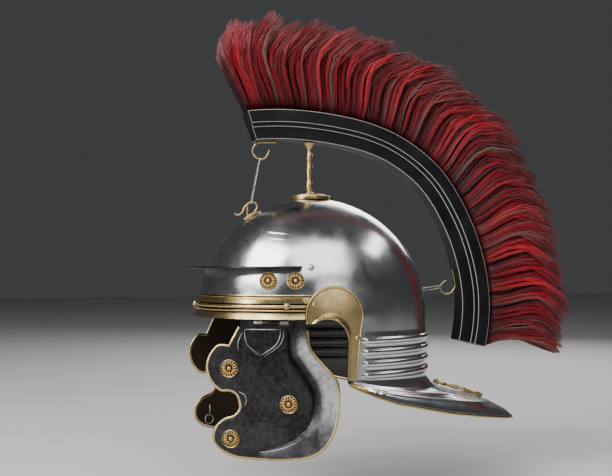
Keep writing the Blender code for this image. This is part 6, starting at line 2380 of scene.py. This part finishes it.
        dye_and_shade = np.concatenate([np.repeat(strand_dye_and_shade, joints * 3), np.zeros(len(core_points))])
        core_height = np.concatenate([self.core_heights, self.core_heights[::-1]])
        strand_height = np.tile(np.repeat(share, 3), count)
        height = np.concatenate([strand_height, np.resize(core_height, len(core_points))])
        for label, values in (("dye_and_shade", dye_and_shade), ("height", height)):
            attribute = mesh.attributes.new(label, "FLOAT", "POINT")
            attribute.data.foreach_set("value", values.astype(np.float32))
        index = np.zeros(len(mesh.polygons), np.int32)
        index[len(quads) + len(ends) :] = 1
        mesh.polygons.foreach_set("material_index", index)
        mesh.shade_smooth()
        mesh.update()
        return mesh

    def build(self, shop: Workshop) -> None:
        """Builds the seven runs of locks.

        Args:
            shop: what makes the pieces.
        """
        for section in range(self.sections):
            node = f"plume_{section + 1}"
            mesh = self.strand_mesh(f"{node}_hair", section)
            shop.piece(mesh, (shop.hair, shop.hair_core), Slot.HAIR, Body.HELMET, node)


# Studio


@dataclass
class Studio:
    """The pale floor, soft lights and camera."""

    floor_z: float = -0.30
    eye: Triple = (0.8499, -0.2296, -0.0704)
    turn: float = math.radians(14.9)
    tilt: float = math.radians(2.02)
    aim: Triple = (0.0, 0.04, 0.0)
    lamps: tuple[tuple[str, Triple, tuple[float, float], float], ...] = (
        ("key", (0.66, -0.95, 1.0), (1.2, 1.1), 34),
        ("second key", (0.95, 0.15, 0.95), (0.8, 0.7), 6),
        ("side strip", (0.72, -1.25, 0.03), (0.3, 0.36), 7),
        ("top strip", (0.10, 1.1, 1.0), (1.0, 0.2), 4),
        ("fill", (2.0, 0.5, 0.5), (0.5, 0.9), 3),
        ("back", (-1.3, 0.9, 0.8), (0.9, 0.9), 14),
    )

    def build(self) -> None:
        """Builds the studio."""
        self.build_floor()
        self.build_camera()
        for name, place, size, power in self.lamps:
            self.light(name, place, size, power)
        world = bpy.data.worlds.new("studio")
        world.use_nodes = True
        world.node_tree.nodes["Background"].inputs["Color"].default_value = (0.32, 0.33, 0.35, 1)
        world.node_tree.nodes["Background"].inputs["Strength"].default_value = 0.16
        bpy.context.scene.world = world

    def build_floor(self) -> None:
        """Builds the floor."""
        mesh = bpy.data.meshes.new("floor")
        size = 6.0
        corners = [(-size, -size), (size, -size), (size, size), (-size, size)]
        mesh.from_pydata([(x, y, self.floor_z) for x, y in corners], [], [(0, 1, 2, 3)])
        r = Recipe("pale floor")
        cloud = r.noise(3, 3, 0.5)
        tone = r.mix(cloud, (0.62, 0.62, 0.615), (0.68, 0.675, 0.665))
        mesh.materials.append(r.finish(Base_Color=tone, Roughness=0.8))
        floor = bpy.data.objects.new("floor", mesh)
        bpy.context.scene.collection.objects.link(floor)

    def light(self, name: str, place: Triple, size: tuple[float, float], power: float) -> None:
        """Adds a soft box of light.

        Args:
            name: the light's name.
            place: where it hangs.
            size: its width and height.
            power: its power in watts.
        """
        lamp = bpy.data.lights.new(name, "AREA")
        lamp.shape = "RECTANGLE"
        lamp.size, lamp.size_y = size
        lamp.energy = power
        light = bpy.data.objects.new(name, lamp)
        light.location = place
        light.rotation_mode = "QUATERNION"
        light.rotation_quaternion = (Vector(self.aim) - Vector(place)).to_track_quat("-Z", "Y")
        bpy.context.scene.collection.objects.link(light)

    def build_camera(self) -> None:
        """Builds the camera."""
        lens = bpy.data.cameras.new("camera")
        lens.lens = 50
        lens.sensor_width = 36
        lens.clip_start = 0.01
        camera = bpy.data.objects.new("camera", lens)
        camera.location = self.eye
        flat = math.cos(self.tilt)
        ahead = Vector((-math.cos(self.turn) * flat, math.sin(self.turn) * flat, math.sin(self.tilt)))
        camera.rotation_mode = "QUATERNION"
        camera.rotation_quaternion = ahead.to_track_quat("-Z", "Y")
        bpy.context.scene.collection.objects.link(camera)
        bpy.context.scene.camera = camera


def dress_hinges(shop: Workshop) -> None:
    """Gives the fixed hinge leaves their finish.

    Args:
        shop: what holds the finishes.
    """
    for side in Side:
        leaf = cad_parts[f"cheek_hinge_{side.label}"]
        for slot in leaf.material_slots:
            slot.material = shop.iron
        log.info("%s dressed", leaf.name)


def main() -> None:
    """Builds the helmet's sub-assemblies in order, then the studio."""
    logging.basicConfig(level=logging.INFO, format="%(message)s")
    shop = Workshop()
    surface = BowlForm()
    neck = NeckForm(surface)
    arc = CrestForm()
    Bowl(surface, neck).build(shop)
    BrowGuard(surface).build(shop)
    BrowBand(surface).build(shop)
    TempleRosettes(surface).build(shop)
    for side in Side:
        EarGuard(surface, side).build(shop)
        CheekGuard(CheekForm(surface), side).build(shop)
    dress_hinges(shop)
    NeckTrim(neck).build(shop)
    CarryingHandle(neck).build(shop)
    CrestMount(surface, arc).build(shop)
    CrestBox(arc).build(shop)
    CrestTies(surface, arc).build(shop)
    Plume(arc).build(shop)
    Studio().build()
    log.info("%d triangles in all", shop.total)


if __name__ == "__main__":
    main()
